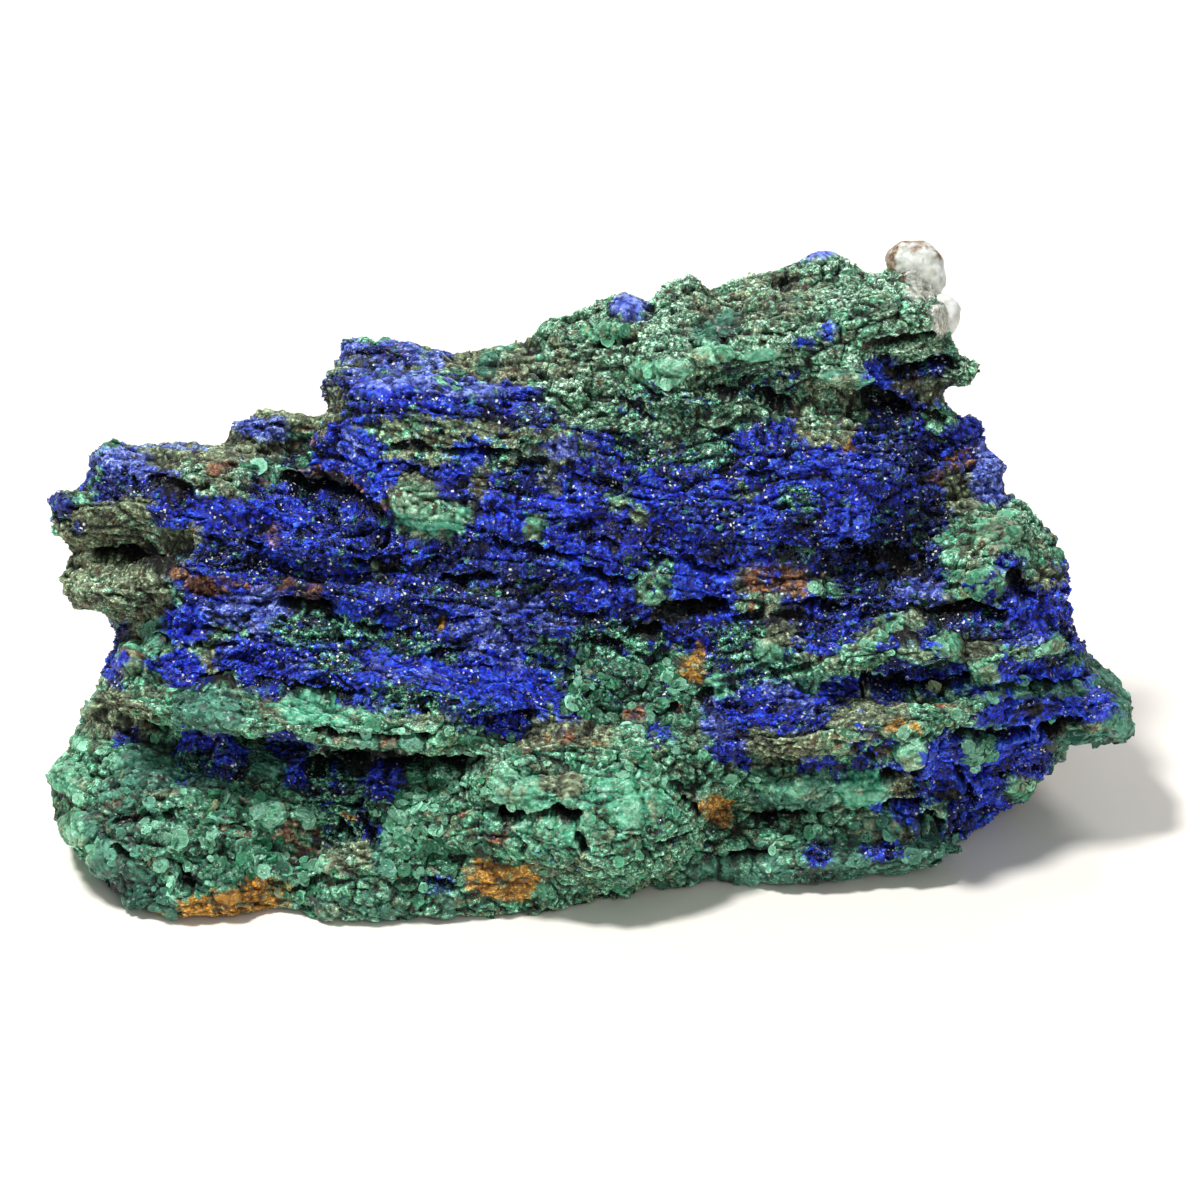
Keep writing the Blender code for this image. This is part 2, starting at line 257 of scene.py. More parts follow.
# Each mineral's colours in its pits, on its body and on its tips, where the pit colour is partly painted
# shade and the tip colour partly painted highlight; the colour of the few grains of another mineral in
# it, and how many there are; how glossy it is, which also sets its painted glints; how much of the beds,
# the chips, the creased lumps, the nodules and the grains shows in it; and how crumbly its surface is,
# which also sets how much painted shade shows in its pits and creases.
minerals = {
    "azurite":   ("#000224", "#0818bc", "#3c5cf0", "#4c8c84", 0.03, 0.60, 0.6, 1.0, 0.2, 0.0, 0.8, 1.15),
    "vivid":     ("#00042c", "#0a24d8", "#4070ff", "#3048a0", 0.02, 0.50, 0.4, 0.8, 0.2, 0.0, 0.6, 0.85),
    "navy":      ("#00010c", "#0c1464", "#3850c8", "#3c8470", 0.06, 0.95, 0.7, 1.0, 0.3, 0.0, 0.9, 1.25),
    # the pale violet-blue kind is laid partly on ledge tops, where it is painted highlight; elsewhere it is
    # a paler azurite
    "paleBlue":     ("#060c38", "#4058c8", "#9cb0ff", "#343c70", 0.04, 0.30, 0.4, 0.6, 0.6, 0.1, 0.7, 0.85),
    "malachite": ("#04140d", "#50a67c", "#a0e0bc", "#7c8c64", 0.03, 0.15, 0.5, 0.0, 0.3, 1.0, 0.4, 0.95),
    "rosette":   ("#04140d", "#388660", "#8cccac", "#7c8464", 0.03, 0.20, 0.4, 0.0, 0.3, 0.9, 0.6, 1.0),
    "crumble":   ("#060c08", "#64ac82", "#c8f4d4", "#4c4430", 0.05, 0.20, 0.4, 0.1, 0.6, 0.9, 1.0, 1.1),
    "mint":      ("#0c3c28", "#4cb48a", "#a4ecc8", "#b0d0ac", 0.02, 0.30, 0.5, 0.0, 0.2, 0.4, 0.2, 0.4),
    "teal":      ("#04160f", "#2e6854", "#6cb094", "#48544c", 0.06, 0.25, 0.3, 0.0, 0.2, 0.7, 0.2, 0.5),
    "druse":     ("#010a06", "#1e5c44", "#98f0c4", "#1c30a0", 0.14, 1.00, 0.5, 0.4, 0.7, 0.2, 1.2, 1.2),
    "olive":     ("#0c0c08", "#6a785a", "#b0c49c", "#5c4c34", 0.06, 0.10, 0.6, 0.1, 1.0, 0.3, 0.9, 0.85),
    "rust":      ("#1c0c06", "#7c4c34", "#bc8c64", "#3c3c50", 0.14, 0.10, 0.5, 0.4, 0.6, 0.1, 0.6, 0.8),
    "ochre":     ("#3a2408", "#b07820", "#ecb858", "#8c9468", 0.08, 0.10, 0.4, 0.3, 0.6, 0.1, 0.5, 0.8),
    # the shadow row is no mineral: it is painted shade, near-black colour laid into crevices and hollows
    "shadow":    ("#010203", "#080b10", "#1c2626", "#30281c", 0.10, 0.30, 0.6, 0.6, 0.6, 0.0, 0.6, 1.0),
    "quartz":    ("#8d9084", "#c8ccbe", "#eef0e8", "#9a8a70", 0.06, 0.70, 0.1, 0.0, 0.2, 0.0, 0.2, 0.4),
}
reliefColumns = {"beds": 6, "chips": 7, "creases": 8, "nodules": 9, "grains": 10, "crumb": 11}

# Patches laid over each other in order: mineral, from and to along the face, from and to up its
# slope, how far the right end is turned up in degrees, and what share of the patch is covered.
# Shadow patches are painted shade, and the pale violet-blue patches are partly painted highlight on ledge
# tops.
patches = [
    # the blue belt behind everything
    ("azurite", -80, 62, -8, 22, -2), ("azurite", -48, 48, 8, 38, -3), ("azurite", -62, 2, -22, -4, -7),
    ("azurite", 30, 84, -20, 14, 8), ("azurite", 42, 76, -44, -8, 14), ("azurite", 36, 66, 16, 42, -6),
    ("navy", 34, 60, -4, 27, -20, 0.75), ("navy", -26, -6, -1, 6, 0, 0.8),
    ("navy", -44, -6, -6, 12, -4, 0.45), ("navy", -74, -56, 8, 20, 0, 0.5),
    ("navy", 52, 82, -20, -8, 12, 0.25), ("navy", 44, 74, -40, -24, 14, 0.35),

    # small crystals scattered over it
    ("druse", -60, 4, -8, 16, -4, 0.2), ("druse", 34, 60, 4, 27, 0, 0.2),
    ("druse", 44, 84, -20, 0, 6, 0.15),

    # upper left block
    ("azurite", -47, -8, 28, 39, -3), ("paleBlue", -47, -26, 38, 43.5, 2), ("navy", -42, -30, 39, 42, 0, 0.5),
    ("olive", -46, -38.5, 36.5, 40.5, 14, 0.7), ("rust", -36.5, -31, 39.5, 42.5, 0, 0.35),
    ("olive", -33, -26, 36.5, 40, -12, 0.6), ("paleBlue", -43, -12, 34, 38.5, -4, 0.8),
    ("teal", -40, -16, 36.5, 39, -4, 0.25), ("malachite", -32, -16, 34, 38, -8, 0.35),
    ("navy", -13, 5, 27, 37, -8, 0.9), ("druse", -14, 6, 26, 34, -6, 0.45), ("ochre", -4.8, -1.2, 32.2, 35),
    ("olive", -2, 4, 31, 36, 0, 0.5), ("navy", -47, -40.5, 27, 37.5, 8, 0.8),
    ("olive", -46.5, -43, 29, 36, 5, 0.6), ("olive", -41, -2, 22, 30.5, -4, 0.9),
    ("druse", -34, -2, 21.5, 30, -4, 0.45), ("malachite", -33, -29, 27, 33.5, -15, 0.8),
    ("malachite", -41, -34, 24.5, 29, 0, 0.5), ("vivid", -24.5, -18, 22.5, 26.5, 0, 0.8),
    ("vivid", -40, -20, 31, 35, -6, 0.6), ("paleBlue", -10, -4, 23, 26.5, 10, 0.7),
    ("azurite", -49.5, -37.5, 19.5, 29, -20), ("vivid", -46, -38, 20.5, 25, -20),
    ("vivid", -39, -33.5, 15.5, 22.5, -30), ("paleBlue", -47, -40, 22, 28, -30, 0.5),
    ("rust", -51, -46.5, 24, 30.5, -70, 0.55), ("olive", -48.5, -45.5, 25, 35, 0, 0.5),
    ("rust", -52, -38, 15.5, 21.5, -14, 0.8), ("shadow", -52, -39.5, 16.2, 20.8, -12),
    ("rust", -39.5, -35.8, 11, 16.5, -10, 0.9), ("olive", -35.8, -21.3, 10.2, 20.6, -8),
    ("mint", -34.5, -22, 10.6, 16.5, -8, 0.75), ("crumble", -34, -24, 13, 19.5, -8, 0.7),
    ("azurite", -28, -20, 16.5, 22.5, 10, 0.8), ("malachite", -13, -9.3, 9.8, 14.2),
    ("olive", -21.8, -18.4, 16.6, 21.8), ("olive", -10, -6, 18, 22, 0, 0.6),
    ("olive", -25, -9, 36.8, 44.5, -4), ("rust", -24, -12, 37, 40, -8, 0.3),
    ("malachite", -25, -12, 41, 44.5, -5, 0.7), ("teal", -20.5, -16.5, 38, 41.2),
    ("paleBlue", -27.8, -24.5, 41, 44),

    # left comb and upper fin
    ("azurite", -86, -50, 9, 24, -4), ("navy", -64, -50, 18, 28, -10, 0.7),
    ("olive", -66, -50, 23, 32.5, -12, 0.6), ("teal", -65, -60.5, 28.5, 32.8, 30),
    ("paleBlue", -61.5, -51, 26.8, 30.5, -12, 0.8), ("olive", -64, -53, 24.6, 28, -10, 0.8),
    ("olive", -59, -46, 27.5, 35, -8, 0.85), ("paleBlue", -61, -52, 27, 31, -12, 0.9),
    ("paleBlue", -86, -67, 19.5, 26.6, -4, 0.9), ("olive", -77, -60, 22, 28, -6, 0.85),
    ("paleBlue", -76, -65, 25.2, 27.6, -4, 0.5), ("teal", -84, -79.5, 25.2, 29),
    ("crumble", -69.6, -57, 16.6, 23.2, -4), ("olive", -66, -57, 17, 21, 0, 0.5),
    ("rust", -65, -61, 21, 24, -10, 0.8), ("rosette", -57, -50.5, 19, 23, -8, 0.8),
    ("shadow", -73.6, -68.8, 16.8, 20.8), ("navy", -83, -72, 14.5, 20.5, 0, 0.85),
    ("olive", -89.5, -66, 4.5, 17.5, -5), ("crumble", -82, -66, 4, 12, -20, 0.35),
    ("navy", -92, -87.4, 13.8, 18.2, -20), ("navy", -88, -85.4, 10.8, 12.8),
    ("azurite", -76, -68, 11.4, 16.8), ("vivid", -69.5, -58, 12, 17, -3),
    ("azurite", -57, -35, 6.4, 18, -4), ("vivid", -66.5, -59.5, 3.4, 10.6),
    ("navy", -52, -36, 8, 15, -4, 0.45), ("rust", -55.2, -53.4, 6.4, 13, -5, 0.8),
    ("rust", -57, -54.5, 18.4, 21, -10, 0.8),

    # gap and lower fin
    ("shadow", -84, -71, 4.4, 9, -3), ("rust", -72.6, -68, 2.6, 6), ("rust", -70, -57, 0.4, 3.8, -8, 0.6),
    ("olive", -91, -70, -7, 8, -5), ("crumble", -88, -74, -4, 5, -5, 0.35),
    ("teal", -76.5, -70.5, -7.4, -3, 0, 0.8), ("navy", -85.5, -78.5, -8.4, -3.2, -8, 0.9),
    ("vivid", -72.8, -64.8, -7.6, -0.4), ("azurite", -68, -51, 4.2, 10, -4),
    ("paleBlue", -64.5, -46, -6.8, 1.4, -6, 0.65), ("navy", -52, -30, -2, 7, -3, 0.5),
    ("rust", -53, -46.5, 0.4, 3.2, 0, 0.6), ("shadow", -52.5, -44.5, -2.8, 0.2, -6),
    ("druse", -54, -35, -9, -2.4, -6, 0.75), ("druse", -37.5, -22, -12, -6, -12, 0.75),
    ("malachite", -42.5, -35.5, 3.6, 6.4, -4, 0.45), ("malachite", -23, -16, -1.6, 2.4, 0, 0.4),
    ("ochre", -28, -22, -6.2, -3.4, -10, 0.5), ("olive", -28, -22, -7, -4, 0, 0.5),
    ("malachite", -80.8, -75.8, -12.8, -6.6), ("rust", -79, -71.5, -13.6, -8, -10, 0.35),
    ("azurite", -82.5, -78.6, -15.4, -8), ("vivid", -74, -63.8, -14.6, -8, -5),
    ("olive", -67, -60, -13, -7.4, -10, 0.8), ("azurite", -62, 1, -19, -8.8, -6.5),
    ("vivid", -50, 0, -18.4, -10, -8, 0.8), ("paleBlue", -58, -26, -12.6, -9.6, -6.5, 0.5),
    ("navy", -58, -34, -17, -13.6, -6, 0.5), ("druse", -48, -40, -12, -8.4, -8, 0.7),

    # green ledge on the left and the blue cavity under it
    ("malachite", -86, -17, -25.4, -15.6, -6), ("crumble", -56, -20, -24.6, -17, -6, 0.45),
    ("olive", -57.5, -51.5, -20.6, -15.2, 0, 0.7), ("mint", -53, -36, -21, -16.2, -7, 0.85),
    ("druse", -37, -18, -19, -14.5, -8, 0.6), ("teal", -71, -58.5, -23.4, -14.8, -5, 0.9),
    ("olive", -86, -75, -23.4, -14.2, -30, 0.85), ("malachite", -41, -18, -25.4, -18.5, -8, 0.8),
    ("teal", -41, -28, -25.5, -22, -4, 0.6), ("rust", -45, -34, -24.6, -21.8, 0, 0.35),
    ("azurite", -81, -76.5, -24.6, -21.4), ("azurite", -73, -58, -31, -22.2, -5),
    ("druse", -71, -65, -28.4, -24.8, 0, 0.8), ("azurite", -56, -47.4, -27.4, -22.4, -6),
    ("azurite", -53.5, -47.4, -31.2, -27.4), ("teal", -59, -52.8, -30, -24.8),
    ("shadow", -49, -20, -29.8, -25.4, -4, 0.85), ("azurite", -42, -31, -33.2, -28.6, -6, 0.9),

    # lower left mass
    ("teal", -93, -50, -54, -29, 0, 0.8), ("teal", -80.5, -70.5, -31, -23.4, -8),
    ("malachite", -93, -83, -46, -24), ("teal", -86, -82, -40, -30, 0, 0.6),
    ("olive", -84, -64, -40, -31, 8, 0.45), ("rosette", -76, -50, -52, -31, 0, 0.6),
    ("druse", -50, -38, -40, -28, -20, 0.75), ("rosette", -60, -52.6, -38.2, -31.6),
    ("rust", -61, -57.6, -40.6, -37.4, 0, 0.5), ("rust", -53, -46, -43, -35.8, -30, 0.55),
    ("rust", -63.6, -59.6, -39, -35.4, 0, 0.7), ("rosette", -49.8, -45.8, -38.2, -34.2),
    ("olive", -46, -41.8, -45.6, -41.4), ("olive", -41.4, -37.4, -43.4, -39.6),
    ("ochre", -43, -38.4, -38, -34.8, 0, 0.4), ("teal", -38, -30, -46, -34, 0, 0.7),
    ("rosette", -36, -20, -50, -28, -10, 0.8), ("azurite", -39, -36, -40, -37.2, 0, 0.8),
    ("azurite", -29.4, -23.8, -49, -45.8, 10, 0.8), ("rosette", -66, -44, -50, -43, 6, 0.6),
    ("shadow", -70.6, -66.8, -48.2, -44.4), ("ochre", -71.5, -51.5, -55, -47.2, 12),
    ("teal", -50, -22, -55, -48, 4, 0.5),

    # centre
    ("azurite", -8, 9, 4, 12), ("paleBlue", -24, -3, -11, 0.4, -12, 0.55), ("azurite", -6, 12, -4, 5, 0, 0.8),
    ("druse", -12, -6, -12, -7, 0, 0.8), ("druse", -3, 11, -11, -3, -10, 0.75),
    ("shadow", 5, 9.8, -6.8, -3.2), ("malachite", 6, 11.2, -1, 5.8, 0, 0.75),
    ("druse", 4, 13, 1, 9, 0, 0.4), ("rosette", -7, 18, -21, -9.6, -4),
    ("druse", -8, 16, -17, -10, 0, 0.45), ("olive", -14, 4, -25, -19.5, 4, 0.8),
    ("ochre", -14, 6, -24.4, -21, 4, 0.3), ("ochre", 13, 18.6, -14, -9.4, 0, 0.9),
    ("ochre", 15.4, 17.4, -12, -4.4, -24), ("rust", 4.6, 8.6, -19.6, -17, 0, 0.8),
    ("rust", 11.6, 14.4, -19.6, -16.6, 0, 0.8), ("rust", -7, -3.6, -24, -20.6, 0, 0.7),
    ("azurite", 17, 22, -12, -2.4, 14), ("azurite", 8, 12.4, -26.4, -20),
    ("druse", 16, 24, -14, -9, 0, 0.7), ("paleBlue", 17.6, 25.2, -27, -16, 20),
    ("azurite", 18, 25, -29, -23, 0, 0.8), ("azurite", 20, 39, -25, -12, -24),
    ("paleBlue", 24, 36, -18, -13, -20, 0.5), ("azurite", 21.4, 24.6, -34.6, -30.6),
    ("mint", 17.6, 22.4, -15.6, -11, -30, 0.7), ("shadow", 9.6, 20.5, -3.2, -0.2, 6),
    ("shadow", 25.5, 36, -3.6, -0.6, 10), ("malachite", -26, 26, -50, -24, 6),
    ("rosette", -26, 26, -50, -24, 6, 0.25), ("mint", -20, 14, -43, -28, 10, 0.5),
    ("teal", -26, -16, -40, -30, 0, 0.4), ("olive", -9, -2.6, -32, -27.6, 0, 0.9),
    ("shadow", -17, -13, -37.2, -35.2, -8), ("shadow", -8, -3, -37, -34.4, -8),
    ("druse", -12, 0, -48, -40, 10, 0.3), ("druse", 10, 20, -42, -32, 30, 0.3),
    ("ochre", -23, -9.6, -49.6, -44.2, -14), ("rust", -20, -16, -41.4, -38.6, 0, 0.6),
    ("rust", -24, -21, -36.4, -33.6, 0, 0.6), ("ochre", 17.4, 22, -38, -31.6, 50, 0.85),
    ("teal", 12, 26, -48, -42, 10, 0.6), ("rosette", -30, -18, -36, -26, 0, 0.5),

    # right of the middle
    ("olive", 22, 36, 0, 6, 0, 0.6), ("ochre", 26, 38.5, 0.6, 5.6, -8, 0.6),
    ("rust", 24, 37, 1, 6, -6, 0.55), ("malachite", 34.4, 40.4, -0.2, 4.2, 0, 0.8),
    ("druse", 27, 36, 6.2, 11.2, 0, 0.6), ("malachite", 34.4, 40, 10, 14.2, 0, 0.6),
    ("malachite", 22, 30.4, -2.8, 0.6, 12), ("rust", 23.6, 29, -2, 0, 12, 0.4),
    ("druse", 19, 32, -14, -3.4, 0, 0.8), ("malachite", 24.8, 30.2, -10.8, -6.2),
    ("olive", 26.6, 34.6, -7.6, -3.6, 4), ("malachite", 31.6, 42.6, -15, -8.4, 4),
    ("olive", 33, 43, -11, -8, 14, 0.5), ("azurite", 33, 44, -7.8, -2, 4),
    ("azurite", 36, 44, -18, -13.6, 0, 0.8), ("navy", 52, 68, -8, -2, -4),
    ("azurite", 66, 78, -7, 2.4, -20), ("paleBlue", 68, 80, -8, 2, -30, 0.4),
    ("malachite", 38.6, 57.8, -14, -7.2, -6), ("malachite", 41, 59, -6, -1, 27),
    ("olive", 41, 58, -5, -2, 27, 0.45), ("shadow", 48.4, 52.4, -7.8, -4.6),
    ("shadow", 54.4, 65, -3.4, 0.4, 10), ("malachite", 55.2, 60.8, -10.6, -5),
    ("olive", 60.2, 67.4, -10.8, -6.2), ("malachite", 63, 76, -10.2, -6.8, 2, 0.8),
    ("malachite", 74.2, 78, -9.4, -5.2), ("teal", 77, 93, -29, -8, 24),
    ("olive", 79, 85, -24.6, -20, 0, 0.6), ("navy", 46, 62, -17, -11.6, -6),
    ("azurite", 52, 62, -16.6, -12, -6, 0.6), ("vivid", 60, 81.6, -15.2, -10.8, -2),
    ("malachite", 60.6, 66.8, -14.2, -10.2), ("azurite", 71, 85.6, -21, -13.8, -8),
    ("teal", 62, 80, -16.6, -14, 4), ("olive", 24, 40, -27.6, -21), ("malachite", 46, 67, -23, -15.4, 8),
    ("olive", 38, 51, -24.4, -15.6, 0, 0.75), ("malachite", 36, 52, -28.4, -20, 6, 0.5),
    ("ochre", 47, 53.4, -22.8, -19.6, -10, 0.7), ("rust", 53.6, 58.6, -17.8, -16, 0, 0.5),
    ("rust", 37, 47, -27, -23, 0, 0.4), ("vivid", 60.4, 70.6, -21.2, -17.2, 35),
    ("shadow", 70, 76, -19, -16.4, 0, 0.6), ("vivid", 68.8, 74.6, -24.2, -18.8),
    ("teal", 59.6, 67, -24.4, -20.4, 20, 0.7), ("shadow", 74, 77.6, -24, -20.4),
    ("teal", 75, 85, -27, -21.8, 14), ("azurite", 45, 72, -40, -24, 12),
    ("azurite", 31, 45.4, -32.8, -26.8, -4), ("teal", 24.6, 39, -35.6, -28, -8),
    ("malachite", 26, 38, -33, -28.4, -8, 0.5), ("malachite", 48.6, 54.4, -29, -22),
    ("vivid", 53.4, 60.6, -30.6, -23.8, -30), ("navy", 47, 64, -36, -28, 12, 0.3),
    ("paleBlue", 58, 76, -34, -20, 40, 0.25), ("rosette", 59.4, 65.4, -28, -24, 0, 0.85),
    ("olive", 46.6, 53.4, -33, -29.6, 0, 0.85), ("mint", 39.6, 47.4, -35, -28.6, 8),
    ("vivid", 60, 67, -33, -29, 10, 0.6), ("shadow", 57, 60.4, -34, -31, 30, 0.8),
    ("shadow", 24, 34, -37.6, -35.2, 3, 0.7), ("teal", 17, 66, -48, -38, 4),
    ("malachite", 22, 44, -44, -38, 6, 0.5), ("teal", 42, 54, -41, -35.4),
    ("olive", 42, 54, -40.4, -36, 0, 0.5), ("malachite", 53.8, 58, -38.4, -33.6),
    ("azurite", 42.4, 53.4, -42.8, -40.2, -4, 0.9), ("azurite", 34.4, 38.4, -44, -40.2, 0, 0.8),
    ("azurite", 57.4, 62.8, -40, -35), ("malachite", 67, 73.2, -34, -28.4),

    # right column
    ("navy", 49, 61, 7.6, 25, 0, 0.95), ("rust", 56, 66.4, 16.4, 26, -14, 0.5),
    ("olive", 57, 64.4, 14.6, 21.4, 0, 0.85), ("paleBlue", 62, 70.5, 16, 27, 0, 0.85),
    ("malachite", 56, 76, -1, 16, 8), ("crumble", 58, 74, 6, 16, 0, 0.5),
    ("azurite", 60, 68, -0.6, 5, 0, 0.35), ("olive", 58, 70, 8, 16, 0, 0.4),
    ("azurite", 66, 71.4, 5, 7.6, 0, 0.9), ("shadow", 67.6, 72.8, -1, 5.2),
    ("azurite", 74.6, 79.4, 2, 9, -10), ("olive", 72.6, 77.4, 1.4, 6.4, 0, 0.8),
    ("azurite", 67.6, 79, -5.4, 2, -20), ("malachite", 74, 78, 6, 12, 0, 0.6), ("navy", 40, 57, -2, 8.6, 8),
    ("shadow", 44, 54, 2, 8, 8, 0.6), ("paleBlue", 49, 56, 0.6, 3.6, 0, 0.7),

    # blue wall under the green ridge
    ("azurite", 4, 50, 8.6, 27.6, -4), ("vivid", 28, 50, 16, 25, -6, 0.6),
    ("vivid", 6, 28, 10, 18, -6, 0.35), ("navy", 4, 22, 20, 28, 0, 0.4), ("navy", 16, 34, 6, 14, -10, 0.4),
    ("druse", 2, 20, 21.6, 30.6, -6, 0.7), ("olive", 6, 18, 23, 28, 0, 0.4),
    ("malachite", 0.4, 4.4, 14.8, 18.2, 0, 0.8), ("malachite", 4.6, 8.4, 12, 15.4, 0, 0.8),
    ("druse", 30, 36.5, 14.6, 18.4, 0, 0.6), ("malachite", 22, 26, 17, 20, 0, 0.5),
    ("paleBlue", 40, 51, 20, 28, 0, 0.35), ("ochre", 40, 42.4, 25, 27.6), ("druse", 4, 50, 7, 27, -6, 0.2),

    # green ridge on top
    ("crumble", -11, 60, 29, 60, 10), ("paleBlue", 1.4, 7.8, 46.6, 50.8), ("paleBlue", 33, 39.4, 56.2, 59),
    ("olive", -10, 2, 38, 46, 30, 0.6), ("rust", -9, -5, 37, 42, 30, 0.2),
    ("crumble", -7, 3, 40, 49, 20, 0.5), ("olive", 14, 36, 44, 54, 16, 0.55),
    ("teal", 14.6, 23.4, 42.6, 47.4, 10), ("shadow", 18, 33, 45, 50.4, 8, 0.3),
    ("malachite", 4.4, 16.6, 35.4, 40.2, -4), ("malachite", 15, 23.4, 38.8, 43, 10),
    ("mint", 23.4, 30.6, 38.8, 41.6, -4), ("malachite", -4, 6, 43, 46.4, -14, 0.8),
    ("malachite", 40, 52, 44, 51, 10, 0.5), ("druse", 2, 20, 29, 35.6, -8, 0.5),
    ("druse", 20, 44, 31, 38.4, -6, 0.6), ("shadow", 18, 34, 32.4, 37, -6, 0.35),
    ("shadow", 19.2, 22.8, 32.6, 36), ("shadow", 26.4, 32, 31, 34.8, 0, 0.6),
    ("teal", 34.6, 46.6, 34.8, 38.4, -16), ("vivid", 44.4, 50.8, 34.4, 39.8, -20),
    ("navy", 50, 60, 33.6, 40, 0), ("shadow", 47.4, 53.4, 37, 39.4), ("olive", 50, 58, 32.4, 36.8, 0, 0.9),
    ("navy", 43, 54, 26.6, 34, 0, 0.9), ("malachite", 53, 59.4, 28, 32.8),
    ("olive", 31, 44.4, 26, 37, -8, 0.85), ("crumble", 32, 44, 28, 37, -8, 0.5),
    ("vivid", 36.9, 39, 43.6, 46.8), ("vivid", 32, 35.6, 41.6, 43.4), ("crumble", 58, 66, 34.4, 42, 20),
    ("rust", 47, 59, 54.6, 60, 6, 0.7), ("quartz", 50.6, 57.2, 50.6, 58),
    ("quartz", 55, 59.8, 43.6, 50.4, 0, 0.8),
]


# How the minerals spread. Noise is given as size in mm, seed and, where it has one, its strength;
# from and to say at which noise one mineral gives way to the next.
oreSpread = {
    "wobble": ((5.0, 3.1, 1.5), (1.8, 7.7, 0.9)),        # mm that a patch's edge wanders
    "speck": ((2.4, 11.3, 0.35), (0.7, 13.3, 0.4)),      # where a patch that covers a share lies
    # the rock as a whole, away from the broken face: bands that follow the beds, and blotches
    "band": ((40, 30, 13), 21.0), "blotch": ((26, 20, 14), 31.0), "rare": ((17, 12, 7), 37.0),
    "azurite": (0.08, 0.2), "navy": (0.2, 0.4), "navySpecks": (0.3, 0.7), "olive": (0.12, 0.3),
    "teal": (0.1, 0.3), "tealSpecks": (0.3, 0.6), "crumble": (0.1, 0.3), "crumbleShare": 0.8,
    "ochre": (0.5, 0.56),
    "front": (-20, -12),     # mm out from the middle of the face where its own patches start
    "edge": 0.3,             # mm of blend at the rim of a patch
    "squareness": 2.5,       # 2 makes a patch an ellipse, more makes it squarer
    # malachite is stained here and there, and azurite runs from vivid to nearly black
    "earth": ((4.0, 3.0, 3.5), 97.0), "earthy": (0.1, 0.35),
    "stained": {"malachite": 0.75, "crumble": 0.375},
    "veer": ((6.5, 4.0, 6.0), 83.0), "veers": (0.12, 0.3),
}


def mineralShares(points):
    # how much of each mineral there is at each point: an array for each mineral, adding up to 1
    along, up, out = toFace(points)
    wobble = sum(noiseAt(points, size, seed) * much for size, seed, much in oreSpread["wobble"])
    speck = sum(noiseAt(points, size, seed) * much for size, seed, much in oreSpread["speck"]) + 0.5
    band = noiseAt(points, *oreSpread["band"], 3)
    blotch = noiseAt(points, *oreSpread["blotch"], 3)
    rare = noiseAt(points, *oreSpread["rare"], 2)
    shares = {name: np.zeros(len(points)) for name in minerals}

    def lay(name, cover):
        for share in shares.values():
            share *= 1 - cover
        shares[name] += cover

    shares["malachite"][:] = 1
    lay("azurite", smoothStep(*oreSpread["azurite"], band))
    lay("navy", smoothStep(*oreSpread["navy"], band) * smoothStep(*oreSpread["navySpecks"], speck))
    lay("olive", smoothStep(*oreSpread["olive"], blotch))
    lay("teal", smoothStep(*oreSpread["teal"], -band) * smoothStep(*oreSpread["tealSpecks"], speck))
    lay("crumble", smoothStep(*oreSpread["crumble"], -blotch) * oreSpread["crumbleShare"])
    lay("ochre", smoothStep(*oreSpread["ochre"], -rare))
    front = smoothStep(*oreSpread["front"], out + wobble * 2)
    lay("malachite", front)
    power, edge = oreSpread["squareness"], oreSpread["edge"]
    for patch in patches:
        name, left, right, bottom, top, turn, cover = patch + (0, 1)[len(patch) - 5:]
        x, y = along - (left + right) / 2, up - (bottom + top) / 2
        halfLong, halfHigh, turn = (right - left) / 2, (top - bottom) / 2, math.radians(turn)
        a = np.abs(x * math.cos(turn) + y * math.sin(turn)) / halfLong
        b = np.abs(y * math.cos(turn) - x * math.sin(turn)) / halfHigh
        far = (a ** power + b ** power) ** (1 / power)
        narrow = min(halfLong, halfHigh)
        inside = (1 - far) * narrow + wobble * min(1, narrow / 3)
        weight = smoothStep(-edge, edge, inside) * front
        if cover < 1:
            weight *= smoothStep(0.9 - cover, 1.1 - cover, speck)
        lay(name, weight)

    def move(name, other, much):
        moved = shares[name] * much
        shares[name] -= moved
        shares[other] += moved

    earth = smoothStep(*oreSpread["earthy"], noiseAt(points, *oreSpread["earth"], 3))
    for name, much in oreSpread["stained"].items():
        move(name, "olive", earth * much)
    veer = noiseAt(points, *oreSpread["veer"], 2)
    move("azurite", "vivid", smoothStep(*oreSpread["veers"], veer))
    move("azurite", "navy", smoothStep(*oreSpread["veers"], -veer))
    return shares


def mineralColours(shares, tone, stray):
    # tone runs from 0 in the pits to 1 on the tips, and holds painted shade in hollows, crevices and
    # gaps and painted highlight on what stands out, besides each mineral's own tone; stray is a number 0..1
    # for each grain that says whether it is one of the few of another mineral
    colour, fleck = np.zeros((len(tone), 3)), np.zeros((len(tone), 3))
    glossAndPaintedGlints = np.zeros(len(tone))
    low = np.clip(tone * 2, 0, 1)[:, None]
    high = np.clip(tone * 2 - 1, 0, 1)[:, None]
    for name, (pit, body, tip, other, otherShare, shine, *relief) in minerals.items():
        pit, body, tip, other = (np.array(toLinear(c)) for c in (pit, body, tip, other))
        strays = (stray < otherShare)[:, None]
        own = (pit * (1 - low) + body * low) * (1 - high) + tip * high
        own = np.where(strays, other * (0.2 + 0.8 * low) * (1 + 0.5 * high), own)
        colour += own * shares[name][:, None]
        fleck += other * shares[name][:, None]
        glossAndPaintedGlints += shine * shares[name]
    return colour, fleck, glossAndPaintedGlints


